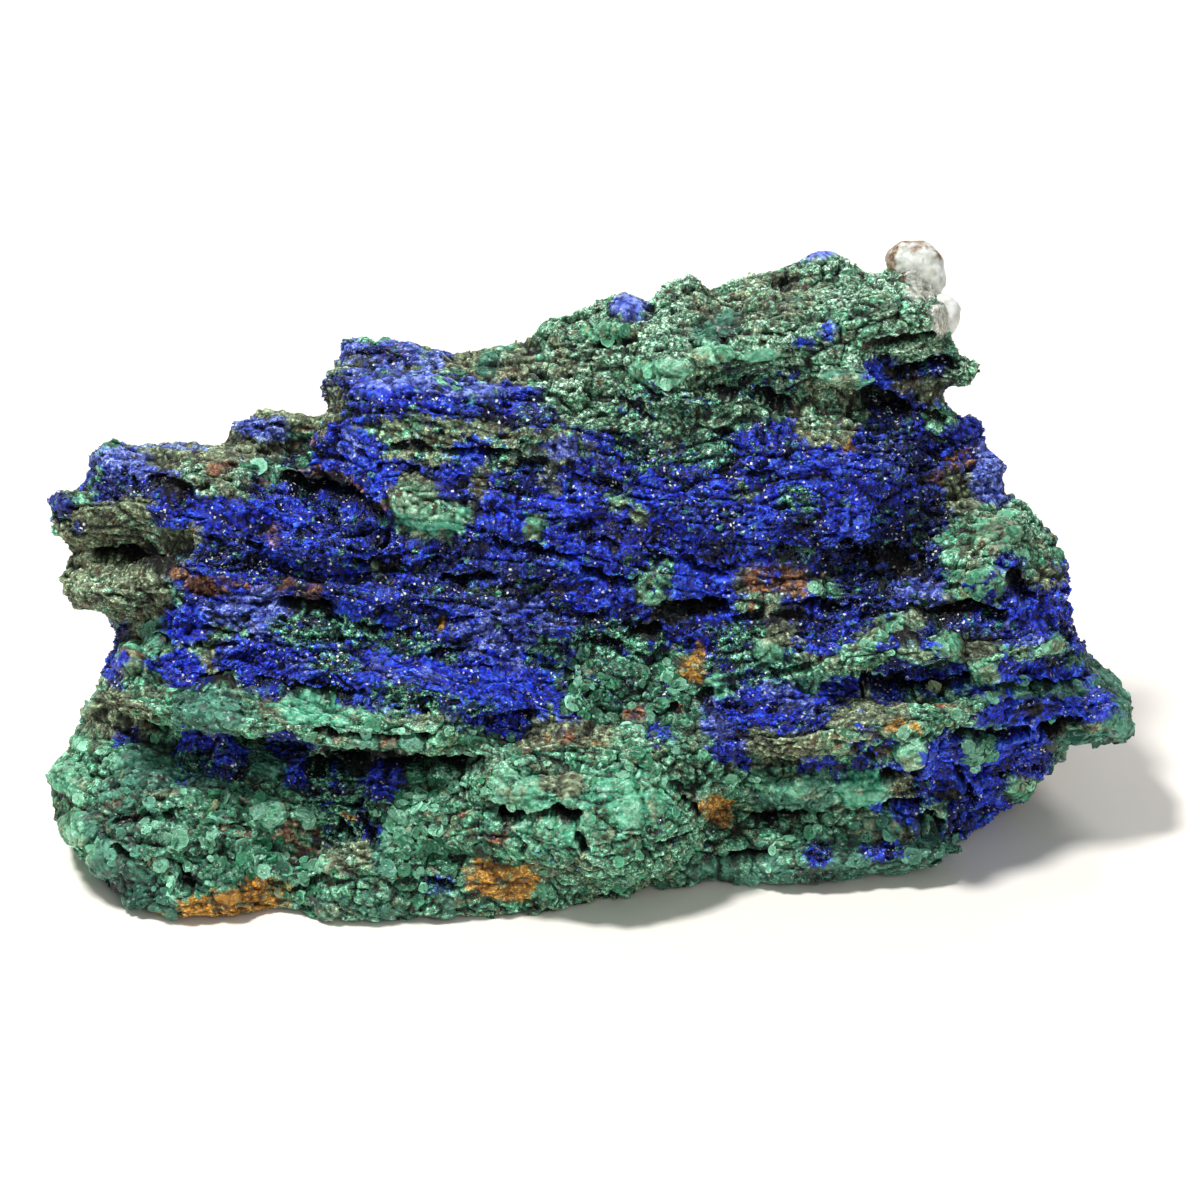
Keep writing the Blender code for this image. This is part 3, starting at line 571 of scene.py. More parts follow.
skin = {
    "grid": 0.95,            # mm between points on the back; the broken face gets half of it
    "smoothing": 4,
    "swell": (9.0, 0.6),     # size and height in mm of the broad unevenness
    # each set of beds: size along, across and into them, how far one stands out past the next,
    # how deep the gap between them is and how wide it is as a share of a bed
    "beds": (((17, 3.6, 12), 1.5, 1.2, 0.15), ((5.0, 1.9, 5), 0.6, 0.6, 0.2)),
    # the broken crystals, coarse and fine: size, height and tilt in mm
    "chips": (((3.0, 1.9, 2.6), 0.55, 0.75), ((1.3, 0.95, 1.2), 0.3, 0.42)),
    "creases": ((3.4, 2.2, 3.4), 1.0),      # size and height of the billowing crust
    # the rounded growths, large and small: size, height, and how deep the gap between them is
    "nodules": (((5.2, 3.6, 5.0), 0.9, 1.2), ((2.6, 2.0, 2.6), 0.4, 0.3)),
    # the small holes: size, depth in mm, and how much of the noise is a hole
    "pits": ((3.2, 1.5, 3.0), 1.4, (0.34, 0.5)),
    # a grain of the crust is of one mineral: mm across, height in mm and the share of that which the
    # joint between two grains loses
    "grains": (0.95, 0.2, 0.8),
    "calm": 0.5,             # share of all this that the smooth growths are without
    # size and reach in mm of the unevenness in the rims of growths and, finer, of crevices
    "wander": (3.5, 0.7), "ragged": (1.4, 0.5),
    "sink": 0.5,             # mm that the skin starts below the rock's surface
    "lean": 0.7,             # how far the growth on the broken face leans towards the viewer
    "under": (0.4, 1.0),     # how far a crevice runs up and in
    "pieces": ("left", "middle", "right"),
    "cuts": (-26, 24),       # mm along the rock, where the skin is cut into those pieces
    "flatAbove": 0.45,       # share of crystalline minerals above which the crust stays faceted
}

# How light the skin is, from 0 in the pits to 1 on the tips: the middle, what a mm of hollow takes
# away over 1, 4 and 24 rings of points, and what the grains, joints, crevices and gaps take away.
# The darkening of hollows, crevices and gaps is painted shade, and the lightening where points stand
# proud is painted highlight.
skinTone = {
    "middle": 0.56, "hollows": ((1, 0.8), (4, 0.5), (24, 0.2)), "grain": 0.35, "joint": 0.25,
    "patchy": (7.0, 0.32), "crevice": 0.7, "gap": 0.3,
}

# Dark gaps that run in under a bed: from (along, up) to (along, up), how wide and how deep.
crevices = [
    (-74, 19.6, -68.8, 17.8, 3, 4), (-51.5, 20, -40, 16.2, 3.6, 6), (-40, 16.2, -36.5, 13.5, 2, 3),
    (-58.8, 8.7, -56.4, 8.5, 1.4, 2.5), (-83, 8, -78, 7, 1.6, 5), (-78, 7.2, -72.5, 5.2, 3, 6),
    (-72, 6, -66, 3.6, 0.9, 2), (-52.6, -0.7, -45, -1.2, 2, 5), (-66, -5, -60, -5.4, 0.9, 1.6),
    (-74, -5.8, -71.5, -7.8, 1, 2), (-67, -7.6, -60.5, -7.6, 0.9, 2), (-66.5, -13.6, -61, -12.8, 1.6, 4),
    (-57, -13.2, -50, -15, 1.3, 3.5), (-50, -15, -40, -15.8, 1.3, 3.5), (-75, -20.2, -72, -22, 1.4, 3),
    (-34, 25.6, -26, 24.8, 1.2, 2.5), (-26, 24.8, -13.5, 24.2, 1.5, 3.5), (-36.5, 22.4, -30, 21.8, 0.9, 2),
    (-13.5, 22.6, -9, 22.4, 1.3, 2.5), (-20.5, 14.3, -18.6, 13.9, 1, 2), (-17, 9.4, -12, 8.6, 1.6, 3),
    (-12, 8.6, -5.5, 6.4, 1.8, 3.5), (-5, 20, -2.4, 19.4, 1, 2), (-5, 11.6, -1.8, 12.3, 1.8, 3),
    (0, 9.5, 3, 8.5, 1.5, 2.5), (-26, 3.4, -22, 3.2, 1.3, 3.5), (-22, 3.2, -17.5, 3.8, 1.2, 3),
    (-3, 4.8, 5.6, 2.6, 1.4, 3.5), (-30, -1.6, -26, -2.4, 1, 2), (-26.5, -3.6, -22, -3.4, 1.1, 2.5),
    (-40, -4.6, -34, -5.6, 1.1, 2.5), (-34, -5.6, -30, -4.8, 1, 2.5), (-27.5, -8.6, -22.5, -8.6, 1.5, 3),
    (-20, -11.2, -16.5, -11.2, 1.1, 2.5), (-16.5, -5.6, -14.8, -6.2, 1.1, 2),
    (-5.5, -12, -2, -16.4, 1.5, 3), (-3, -3, 1, -2.2, 1.3, 2.5), (1, -7.2, 3, -8.2, 1.8, 3),
    (-30.2, -17, -28.4, -17, 1, 2), (-19, -20, -11, -19, 1.3, 3), (-47, -22.2, -38, -23.2, 1.6, 4),
    (-38, -23.2, -29, -23, 1.2, 3), (-41, 6, -36, 5.8, 1.1, 2.5), (-50, 11.4, -47.6, 10.2, 1.2, 2),
    (3, 33.5, 8.5, 29.5, 1, 2), (11.4, -1.3, 20, -1.6, 2.7, 6), (5.8, -5.8, 9.6, -4.8, 2.8, 5),
    (35, -0.6, 41, -1.6, 1.7, 4), (22, -3.6, 27, -1.8, 1, 2), (25, -6.6, 30.5, -5.8, 1, 2.5),
    (34.5, -11.5, 29, -12.2, 1.2, 2.5), (8, 6.8, 14, 6.2, 1, 2.5), (14, 6.2, 21, 4, 1.1, 2.5),
    (41, 8.4, 45, 7, 2.4, 3.5), (48.4, 8, 50.4, 6.8, 2.2, 3.5), (53.4, 7, 54.6, 5.6, 1.8, 3),
    (45, 3.6, 48, 1.8, 2.4, 3), (44, -14, 52, -15.2, 2, 5), (52, -14.6, 60.5, -13.6, 2.2, 5),
    (25, 21, 29, 20.4, 1, 2), (20.3, 34.6, 22.4, 34, 2.2, 4), (26.2, 34.6, 31.6, 33, 1.6, 3),
    (45, 34, 50, 32, 3.4, 4), (50, 32, 56.5, 30, 3, 4), (50, 38.2, 58, 39.8, 1.8, 4),
    (46, 42, 55, 43.6, 1.6, 3), (17, 43.6, 22, 43.5, 1, 2), (49.8, 49.4, 49, 45.6, 0.8, 1),
    (9.4, -19, 12.6, -17.8, 2.2, 4), (17.4, -15.6, 19.6, -19.4, 2, 3), (55, -3, 61, -1.6, 3.2, 6),
    (61, -1.6, 66.4, -3, 2.6, 5), (69, 4, 71, 0.4, 2.8, 5), (48.8, -6.2, 53, -7, 2.2, 4),
    (52, -1.2, 54, -2.2, 1.6, 3), (66, -14.9, 72, -14, 1.4, 3.5), (72, -14, 80, -13.4, 1.2, 3),
    (58, -22.2, 66, -23, 1.8, 4), (66, -23, 71, -21.8, 1.6, 3), (74, -21.4, 79.4, -20.8, 2.4, 4),
    (53.8, -36.4, 56.2, -38.2, 2.2, 4), (59, -28, 60.6, -31, 1.3, 3), (60.6, -31, 62, -33.4, 1.3, 3),
    (47.6, -34.6, 53, -33.4, 1.6, 3.5), (47, -29, 52.4, -29.6, 1.6, 3), (42.6, -24.2, 45.4, -26.6, 1.4, 2),
    (25.6, -36.4, 34, -36, 1.8, 4), (34, -36, 38, -36.8, 1.2, 3), (21.6, -43, 27.4, -42.6, 2.2, 5),
    (-16.8, -36, -12.8, -36.3, 1.6, 4), (-7.6, -35.4, -3.8, -36.2, 2.2, 5),
    (-12.8, -36.2, -7.6, -35.4, 0.9, 2.5), (-3.6, -39.4, -2.4, -41.6, 1.8, 4),
    (-14, -40, -13, -42.4, 0.9, 2), (-69.8, -45.4, -68, -47.6, 3, 5), (-28.6, -46.5, -24, -47.8, 1.8, 4),
    (-50.4, -48.4, -46.4, -46, 1.4, 3), (-39.6, -36, -37.2, -39.6, 1.6, 3),
    (-48.6, -27.2, -36, -27.8, 2.4, 6), (-36, -27.8, -20.6, -27.4, 2.6, 6),
    (-80, -37, -74, -36.4, 1.5, 2.5), (-74, -36.4, -69.6, -34.8, 1.3, 2.5),
    (-64, -37.4, -58.4, -38, 1.2, 2), (14, -33, 16.6, -36, 1.2, 2.5), (11.6, -31, 14.2, -31, 1.1, 2),
    (-24, -30, -22.4, -31.8, 1, 2), (10, -41.2, 15, -39.6, 1, 2.5), (-80, -41, -78, -43, 1.6, 3),
    (-43.4, -36.6, -41.6, -39.4, 1.2, 2),
]

# Smooth rounded growths: (along, up), half length, half height, how far they stand out.
lumps = [
    (-88.6, -29.2, 3.2, 3.2, 1.6), (-86.9, -37.8, 3.5, 3.4, 1.6), (-82, -42.9, 3, 3.4, 1.4),
    (-76.3, -27.2, 5.2, 4, 1.8), (-86.2, -23.5, 1.8, 1.7, 1), (-85.2, -18.2, 1.6, 1.4, 0.9),
    (-56, -34.8, 3.7, 3.2, 1.6), (-61, -33.2, 1.9, 1.8, 1.2), (-47.8, -36.2, 2, 1.9, 1.2),
    (-46, -43.4, 2.2, 2, 1.2), (-33.6, -38.6, 2.8, 4.2, 1), (-61.6, -49, 2.4, 1.8, 1),
    (-64.6, -18.6, 5.2, 3.2, 1.2), (-78.6, -9.6, 3, 3, 1.2), (-28.6, 15.4, 6, 4.6, 0.6),
    (-89.6, 16.4, 2, 1.8, 1), (-11.2, 12, 1.7, 2.2, 0.9), (8.6, 2.4, 2.4, 3, 0.5),
    (37.4, 12.2, 2.2, 1.7, 1), (27.6, -8.6, 2.4, 2, 0.7), (51.6, -25.8, 2.7, 3.2, 2),
    (70.2, -31.1, 3, 2.7, 1.6), (57.9, -7.7, 2.6, 2.5, 1.1), (63.8, -12.2, 2.8, 1.8, 1),
    (76, -7.3, 1.8, 1.9, 0.8), (52.4, -0.8, 1.9, 1.6, 0.8), (56.2, 0.4, 1.8, 1.6, 0.7),
    (48.6, -3.4, 1.8, 1.5, 0.7), (45.4, -5.6, 2, 1.5, 0.7), (64.6, 3, 4.4, 3.2, 0.8), (66, 11.4, 5, 3, 1),
    (43.6, -31.8, 3.8, 2.8, 1), (32, -31.6, 6, 3, 1.2), (56, -36, 2, 2, 1.2), (48, -38, 2.4, 1.8, 1),
    (45, -38.4, 1.8, 1.8, 1), (62, -26, 2, 1.8, 1), (85, -18, 4.4, 8, 0.6), (87.6, -22.6, 3.4, 2.6, 2.6),
    (84.8, -12, 2, 2.4, 1), (10.4, 37.9, 6, 2.5, 1.6), (19.1, 41, 4.2, 2.1, 1.4),
    (26.9, 40.2, 3.6, 1.4, 0.9), (1.6, 44.8, 4.6, 1.8, 1), (19, 45.6, 4.6, 2, -1.6),
    (4.4, 48.8, 2.9, 1.8, 1.4), (36.2, 57.4, 3.4, 1.4, 0.8), (40.5, 36.8, 5.6, 1.3, 0.8),
    (-62.6, 30.8, 2, 2.2, 0.8), (-5, -30.4, 2.2, 2.6, 0.6), (-14, -31, 5, 3.6, 0.6), (6, -34, 5, 4, 0.4),
    (-2.4, -36.6, 1.6, 1.8, 0.8), (-38.6, 35.4, 4, 2.2, 0.5), (-30, 36, 5, 2, 0.4), (-19, 34.6, 4, 2, 0.5),
    (-62.2, -25.4, 2.3, 2.3, 1.4), (-79.4, -23.2, 1.8, 1.2, 1), (-67.4, -26.6, 2.6, 1.8, -1),
    (-55.6, -27.2, 2.4, 2.4, 0.4),
]


def copyOfNode(name):
    # the CAD node's mesh is loose triangles, so the copy is merged first
    source = frame["nodes"][rockNode]
    obj = bpy.data.objects.new(name, source.data.copy())
    bpy.context.scene.collection.objects.link(obj)
    obj.data.materials.clear()
    selectOnly(obj)
    bpy.ops.object.mode_set(mode="EDIT")
    bpy.ops.mesh.select_all(action="SELECT")
    bpy.ops.mesh.remove_doubles(threshold=1e-6)
    bpy.ops.object.mode_set(mode="OBJECT")
    return obj


def positions(mesh):
    co = np.empty(len(mesh.vertices) * 3, np.float32)
    mesh.vertices.foreach_get("co", co)
    return co.reshape(-1, 3).astype(float) / mm


def pointNormals(mesh):
    co = np.empty(len(mesh.vertices) * 3, np.float32)
    mesh.vertex_normals.foreach_get("vector", co)
    return co.reshape(-1, 3).astype(float)


def triangleCorners(mesh):
    corners = np.empty(len(mesh.polygons) * 3, np.int32)
    mesh.polygons.foreach_get("vertices", corners)
    return corners.reshape(-1, 3)


def insideBox(points):
    low, high = np.array(cadBox) / mm
    return np.clip(points, low, high)


def setPositions(mesh, points):
    mesh.vertices.foreach_set("co", (insideBox(points) * mm).astype(np.float32).ravel())
    mesh.update()


def averageAround(mesh, values, rings):
    # each value blended with its neighbours' values, ring after ring
    edges = np.empty(len(mesh.edges) * 2, np.int32)
    mesh.edges.foreach_get("vertices", edges)
    a, b = edges.reshape(-1, 2).T
    columns = values.reshape(len(values), -1)
    ends, others = np.concatenate((a, b)), np.concatenate((b, a))
    count = np.bincount(ends, minlength=len(values))
    for _ in range(rings):
        columns = np.stack([
            np.bincount(ends, column[others], len(values)) / count for column in columns.T], 1)
    return columns.reshape(values.shape)


def remesh(obj, grid, rounds):
    # one even closed mesh with its corners softened
    even = obj.modifiers.new("grid", "REMESH")
    even.mode = "VOXEL"
    even.voxel_size = grid * mm
    soften = obj.modifiers.new("soften", "SMOOTH")
    soften.factor = 0.5
    soften.iterations = rounds
    applyModifiers(obj)


def hollowness(mesh, points, normals, rings):
    # how deep each point lies below its surroundings, in mm
    return ((averageAround(mesh, points, rings) - points) * normals).sum(1)


def refineFace(obj):
    # the broken face is split finer than the rest
    normals = np.empty(len(obj.data.polygons) * 3, np.float32)
    centres = np.empty(len(obj.data.polygons) * 3, np.float32)
    obj.data.polygons.foreach_get("normal", normals)
    obj.data.polygons.foreach_get("center", centres)
    facing = normals.reshape(-1, 3) @ outward
    out = toFace(centres.reshape(-1, 3) / mm)[2]
    selectFaces(obj, (facing > 0.0) & (out > -18))
    bpy.ops.mesh.subdivide(number_cuts=1, smoothness=0)
    bpy.ops.mesh.select_all(action="SELECT")
    bpy.ops.mesh.quads_convert_to_tris()
    bpy.ops.object.mode_set(mode="OBJECT")


def storeNumber(mesh, name, values):
    mesh.attributes.new(name, "FLOAT", "POINT").data.foreach_set("value", values.astype(np.float32))


def storeColour(mesh, name, values):
    rgba = np.ones((len(values), 4), np.float32)
    rgba[:, :3] = values
    mesh.attributes.new(name, "FLOAT_COLOR", "POINT").data.foreach_set("color", rgba.ravel())


def storeLooks(mesh, looks, crumb):
    colour, fleck, glossAndPaintedGlints = looks
    storeColour(mesh, "mineralColour", colour)
    storeColour(mesh, "fleckColour", fleck)
    storeNumber(mesh, "glossAndPaintedGlints", glossAndPaintedGlints)
    storeNumber(mesh, "crumb", crumb)


def meshOf(name, points, corners):
    # a mesh of triangles from points in mm and the numbers of each triangle's corners
    mesh = bpy.data.meshes.new(name)
    mesh.vertices.add(len(points))
    mesh.vertices.foreach_set("co", (points * mm).astype(np.float32).ravel())
    mesh.loops.add(corners.size)
    mesh.loops.foreach_set("vertex_index", corners.ravel())
    mesh.polygons.add(len(corners))
    mesh.polygons.foreach_set("loop_start", np.arange(len(corners)) * 3)
    mesh.update(calc_edges=True)
    return mesh


def creviceDepth(along, up, out):
    # how deep the crevices reach in at each point, in mm
    deep = np.zeros(len(along))
    for x0, y0, x1, y1, width, depth in crevices:
        x, y = x1 - x0, y1 - y0
        t = np.clip(((along - x0) * x + (up - y0) * y) / (x * x + y * y), 0, 1)
        far = np.hypot(along - x0 - t * x, up - y0 - t * y)
        deep = np.maximum(deep, depth * (1 - smoothStep(0.3, 1, far / (width * 0.5 + 0.25))))
    return deep * smoothStep(*face["reaches"], out)


def lumpHeight(along, up, out):
    # how far the smooth growths stand out at each point, and how much of the point is theirs
    high, smooth = np.zeros(len(along)), np.zeros(len(along))
    for x, y, halfLong, halfHigh, height in lumps:
        far = ((along - x) / halfLong) ** 2 + ((up - y) / halfHigh) ** 2
        dome = height * np.sqrt(np.clip(1 - far, 0, 1))
        high = np.where(np.abs(dome) > np.abs(high), dome, high)
        smooth = np.maximum(smooth, 1 - smoothStep(0.6, 1.2, far))
    reach = smoothStep(*face["reaches"], out)
    return high * reach, smooth * reach


def crustHeight(points, relief):
    # how far the crust stands out at each point, and how deep the gaps in it are, both in mm
    size, height = skin["swell"]
    lift = noiseAt(points, size, 1.0, 3) * height - skin["sink"]
    gaps = np.zeros(len(points))
    # beds end one in front of the next, with a dark gap under each; the fine ones come and go
    beds = toBeds(points)
    here = relief["beds"].copy()
    for size, step, gapDepth, gapWidth in skin["beds"]:
        centre, near, gap, own = cellsAt(beds, size, 2.0 + step)
        high = (beds - centre)[:, 1] / size[1]
        lift += ((own[:, 0] - 0.5) * step + high * step * 0.3) * here
        cleft = (1 - smoothStep(0, gapWidth, gap)) * here
        lift -= gapDepth * cleft
        gaps = np.maximum(gaps, cleft * gapDepth)
        here *= smoothStep(-0.25, 0.3, noiseAt(points, 9, 15.0))
    # azurite breaks into chips that each face their own way
    for turn, (size, height, tilt) in enumerate(skin["chips"]):
        centre, near, gap, own = cellsAt(points, size, 5.0 + turn)
        slope = ((points - centre) / size * (own[:, [1, 2, 0]] - 0.5) * 2).sum(1)
        lift += ((own[:, 0] - 0.5) * height + slope * tilt) * relief["chips"]
    # a dry crust billows, with sharp creases in it
    size, height = skin["creases"]
    lift += (creasedAt(beds, size, 41.0) - 0.6) * height * relief["creases"]
    # malachite grows in rounded nodules
    for turn, (size, height, gapDepth) in enumerate(skin["nodules"]):
        centre, near, gap, own = cellsAt(points, size, 8.0 + turn)
        dome = np.sqrt(1 - np.clip(near / 0.8, 0, 1) ** 2) - 0.6
        lift += dome * height * (0.5 + own[:, 0]) * relief["nodules"]
        cleft = (1 - smoothStep(0, 0.16, gap)) * relief["nodules"] * smoothStep(0.2, 0.6, own[:, 1])
        lift -= gapDepth * cleft
        gaps = np.maximum(gaps, cleft * gapDepth)
    # small holes are left between the growths
    size, depth, edge = skin["pits"]
    hole = smoothStep(*edge, noiseAt(beds, size, 33.0)) * relief["grains"]
    lift -= depth * hole
    return lift, np.maximum(gaps, hole * depth)


def growSkin():
    rock = copyOfNode("rock_skin")
    remesh(rock, skin["grid"], skin["smoothing"])
    refineFace(rock)
    mesh = rock.data
    points, normals = positions(mesh), pointNormals(mesh)
    print("skin points", len(points), "triangles", len(mesh.polygons))

    broad = mineralShares(points)
    relief = {}
    for kind, column in reliefColumns.items():
        shown = sum(broad[name] * row[column] for name, row in minerals.items())
        relief[kind] = averageAround(mesh, shown, 2)
    print("mineral patches")

    along, up, out = toFace(points)
    size, much = skin["wander"]
    wander = noiseAt(points, size, 61.0) * much
    swollen, smooth = lumpHeight(along + wander, up - wander, out)
    for kind in relief:
        relief[kind] *= 1 - skin["calm"] * smooth
    lift, gaps = crustHeight(points, relief)
    # the crust is made of grains, each of one mineral
    size, height, loss = skin["grains"]
    grainCentre, near, gap, own = cellsAt(points, size, 17.0)
    shares = mineralShares(grainCentre)
    joint = 1 - smoothStep(0, 0.3, gap)
    lift += (own[:, 0] - 0.2 - joint * loss) * height * relief["grains"]
    lift += swollen
    front = smoothStep(-0.1, 0.5, normals @ outward)[:, None]
    way = normals + outward * front * skin["lean"]
    way /= np.linalg.norm(way, axis=1)[:, None]
    # crevices run in and up under the bed above
    size, much = skin["ragged"]
    ragged = wander + noiseAt(points, size, 63.0) * much
    deep = creviceDepth(along + ragged, up + ragged, out) * front[:, 0]
    inCrevice = np.clip(deep / 3, 0, 1)
    points += way * (lift * (1 - 0.5 * inCrevice))[:, None]
    points += (upward * skin["under"][0] - outward * skin["under"][1]) * deep[:, None]
    setPositions(mesh, points)

    points, normals = positions(mesh), pointNormals(mesh)
    tone = skinTone["middle"] + (own[:, 1] - 0.5) * skinTone["grain"] - joint * skinTone["joint"]
    # painted shade: points in hollows are darkened, and painted highlight: points that stand proud are
    # lightened
    for rings, much in skinTone["hollows"]:
        tone -= hollowness(mesh, points, normals, rings) * much
    size, much = skinTone["patchy"]
    tone += noiseAt(points, size, 91.0, 2) * much
    # painted shade in the crevices, in the gaps between beds and nodules and in the small holes
    tone -= inCrevice * skinTone["crevice"] + gaps * skinTone["gap"]
    tone = np.clip(tone, 0, 1)
    storeLooks(mesh, mineralColours(shares, tone, own[:, 2]), relief["crumb"])
    crystalline = relief["chips"] + relief["creases"] * 0.3 - relief["nodules"] * 0.4
    faceted = crystalline[triangleCorners(mesh)].mean(1) > skin["flatAbove"]
    mesh.polygons.foreach_set("use_smooth", ~faceted)
    print("skin grown,", int(faceted.sum()), "faceted triangles")
    return rock, shares, tone


def keepConnected(piece):
    # a tip that a cut left on its own goes, and so does a bubble inside: what is joined to the
    # highest point stays
    top = int(positions(piece.data)[:, 2].argmax())
    selectOnly(piece)
    bpy.ops.object.mode_set(mode="EDIT")
    bpy.ops.mesh.select_mode(type="VERT")
    bpy.ops.mesh.select_all(action="DESELECT")
    bpy.ops.object.mode_set(mode="OBJECT")
    piece.data.vertices[top].select = True
    bpy.ops.object.mode_set(mode="EDIT")
    bpy.ops.mesh.select_linked()
    bpy.ops.mesh.select_all(action="INVERT")
    bpy.ops.mesh.delete(type="VERT")
    bpy.ops.object.mode_set(mode="OBJECT")


def cutSkin(rock):
    # the skin is cut across into closed pieces
    cuts = skin["cuts"]
    pieces = []
    for side, left, right in zip(skin["pieces"], (None,) + cuts, cuts + (None,)):
        piece = bpy.data.objects.new("rock_skin_" + side, rock.data.copy())
        bpy.context.scene.collection.objects.link(piece)
        for place, keepsRight in ((left, True), (right, False)):
            if place is None:
                continue
            selectOnly(piece)
            bpy.ops.object.mode_set(mode="EDIT")
            bpy.ops.mesh.select_mode(type="EDGE")
            bpy.ops.mesh.select_all(action="SELECT")
            bpy.ops.mesh.bisect(
                plane_co=(place * mm, 0, 0), plane_no=(1, 0, 0),
                clear_inner=keepsRight, clear_outer=not keepsRight)
            bpy.ops.mesh.select_all(action="SELECT")
            bpy.ops.mesh.delete_loose()
            # every loop of open edges gets one face
            bpy.ops.mesh.select_all(action="DESELECT")
            bpy.ops.mesh.select_non_manifold(
                extend=False, use_wire=False, use_boundary=True, use_multi_face=False,
                use_non_contiguous=False, use_verts=False)
            bpy.ops.mesh.mark_sharp()
            bpy.ops.mesh.fill_holes(sides=0)
            bpy.ops.mesh.select_all(action="SELECT")
            bpy.ops.mesh.quads_convert_to_tris()
            bpy.ops.object.mode_set(mode="OBJECT")
        keepConnected(piece)
        print(piece.name, len(piece.data.polygons), "triangles")
        pieces.append(piece)
    bpy.data.objects.remove(rock)
    return pieces


# Grains that grew on the skin. form: what one is like; count: how many; size in mm, small to large;
# flat: thickness as a share of width; along: how strictly it lies in the beds, 0..1; tilt: how far
# it leans at random; rough: how far its corners are off; sink: how deep it sits as a share of its
# size; tone: how much lighter it is than the skin under it; varied: how far one differs from the
# next; crumb: how crumbly it is; grows: how freely on each mineral.
grainKinds = {
    "azurite_chips": {
        "form": "slab", "count": 15500, "size": (0.4, 1.2), "flat": 0.4, "along": 0.6, "tilt": 0.45,
        "rough": 0.16, "sink": 0.25, "tone": 0.0, "varied": 0.12, "crumb": 0.6,
        "grows": {"azurite": 1, "vivid": 0.8, "paleBlue": 0.8, "navy": 0.9, "olive": 0.1}},
    "malachite_rosettes": {
        "form": "cup", "count": 2600, "size": (0.9, 3.0), "flat": 0.4, "along": 0.0, "tilt": 0.2,
        "rough": 0.05, "sink": 0.05, "tone": 0.0, "varied": 0.2, "crumb": 0.35,
        "grows": {"rosette": 1, "teal": 0.25, "malachite": 0.1}},
    "malachite_beads": {
        "form": "bead", "count": 6900, "size": (0.3, 0.8), "flat": 0.75, "along": 0.3, "tilt": 0.5,
        "rough": 0.09, "sink": 0.15, "tone": 0.0, "varied": 0.12, "crumb": 0.5,
        "grows": {
            "rosette": 0.6, "crumble": 1, "malachite": 0.25, "mint": 0.2, "teal": 0.2, "olive": 0.6,
            "rust": 0.8, "ochre": 1, "druse": 0.5}},
    "druse_crystals": {
        "form": "point", "count": 17000, "size": (0.3, 0.75), "flat": 1.0, "along": 0.0, "tilt": 2.0,
        "rough": 0.1, "sink": 0.0, "tone": 0.12, "varied": 0.12, "crumb": 0.6,
        "grows": {
            "druse": 2.5, "navy": 0.3, "azurite": 0.15, "vivid": 0.05, "olive": 0.2, "teal": 0.3,
            "rosette": 0.3, "crumble": 0.5}},
}
growth = {
    # how much of it there is away from the broken face, and from where to where it grows thinner
    "back": (0.45, -25, -5),
    # how much there is between clusters, and their size and edges
    "bare": 0.25, "clusters": (8, 5, 8), "clusterEdge": (-0.2, 0.25),
    "clearOfBase": 1.0,      # mm above the base where it starts
    "small": 1.7,            # above 1, most grains are small
    "flats": (0.6, 1.5), "stretch": (0.7, 1.3),
}
# a shallow cup with a raised lip, in mm on a cup 1 mm wide; the rim gets a painted highlight and the
# rest of the cup painted shade
cupForm = {"sides": 8, "depth": 0.4, "lip": 0.13, "hollow": 0.06, "rimShade": 0.1, "cupShade": -0.06}


def seedForm(form):
    # one small closed form a millimetre wide: its points, its triangles and how much lighter
    # or darker each point is, as painted shading: the top of a form lighter and its underside darker,
    # and a cup's rim lighter than the rest
    bpy.ops.object.select_all(action="DESELECT")
    if form == "slab":
        bpy.ops.mesh.primitive_cube_add(size=0.8)
    elif form == "cup":
        bpy.ops.mesh.primitive_cylinder_add(vertices=cupForm["sides"], radius=0.5, depth=cupForm["depth"])
    elif form == "bead":
        bpy.ops.mesh.primitive_ico_sphere_add(subdivisions=1, radius=0.5)
    else:
        bpy.ops.mesh.primitive_cone_add(vertices=4, radius1=0.5, depth=1)
    seed = bpy.context.object
    bpy.ops.object.transform_apply(location=False, rotation=False, scale=True)
    if form == "cup":
        top = np.array([p.normal.z > 0.5 for p in seed.data.polygons])
        selectFaces(seed, top)
        bpy.ops.mesh.inset(thickness=cupForm["lip"])
        bpy.ops.transform.translate(value=(0, 0, -cupForm["hollow"]))
        bpy.ops.mesh.poke()
        bpy.ops.object.mode_set(mode="OBJECT")
    bpy.ops.object.mode_set(mode="EDIT")
    bpy.ops.mesh.select_all(action="SELECT")
    bpy.ops.mesh.quads_convert_to_tris()
    bpy.ops.object.mode_set(mode="OBJECT")
    points = positions(seed.data) * mm
    corners = triangleCorners(seed.data)
    # painted highlight on the top of each form and painted shade under it
    shade = (points[:, 2] - 0.1) * 0.5
    if form == "cup":
        # painted highlight on a cup's rim and painted shade on the rest of it
        onRim = np.hypot(points[:, 0], points[:, 1]) > 0.45
        shade = np.where(onRim, cupForm["rimShade"], cupForm["cupShade"])
    mesh = seed.data
    bpy.data.objects.remove(seed)
    bpy.data.meshes.remove(mesh)
    return points, corners, shade


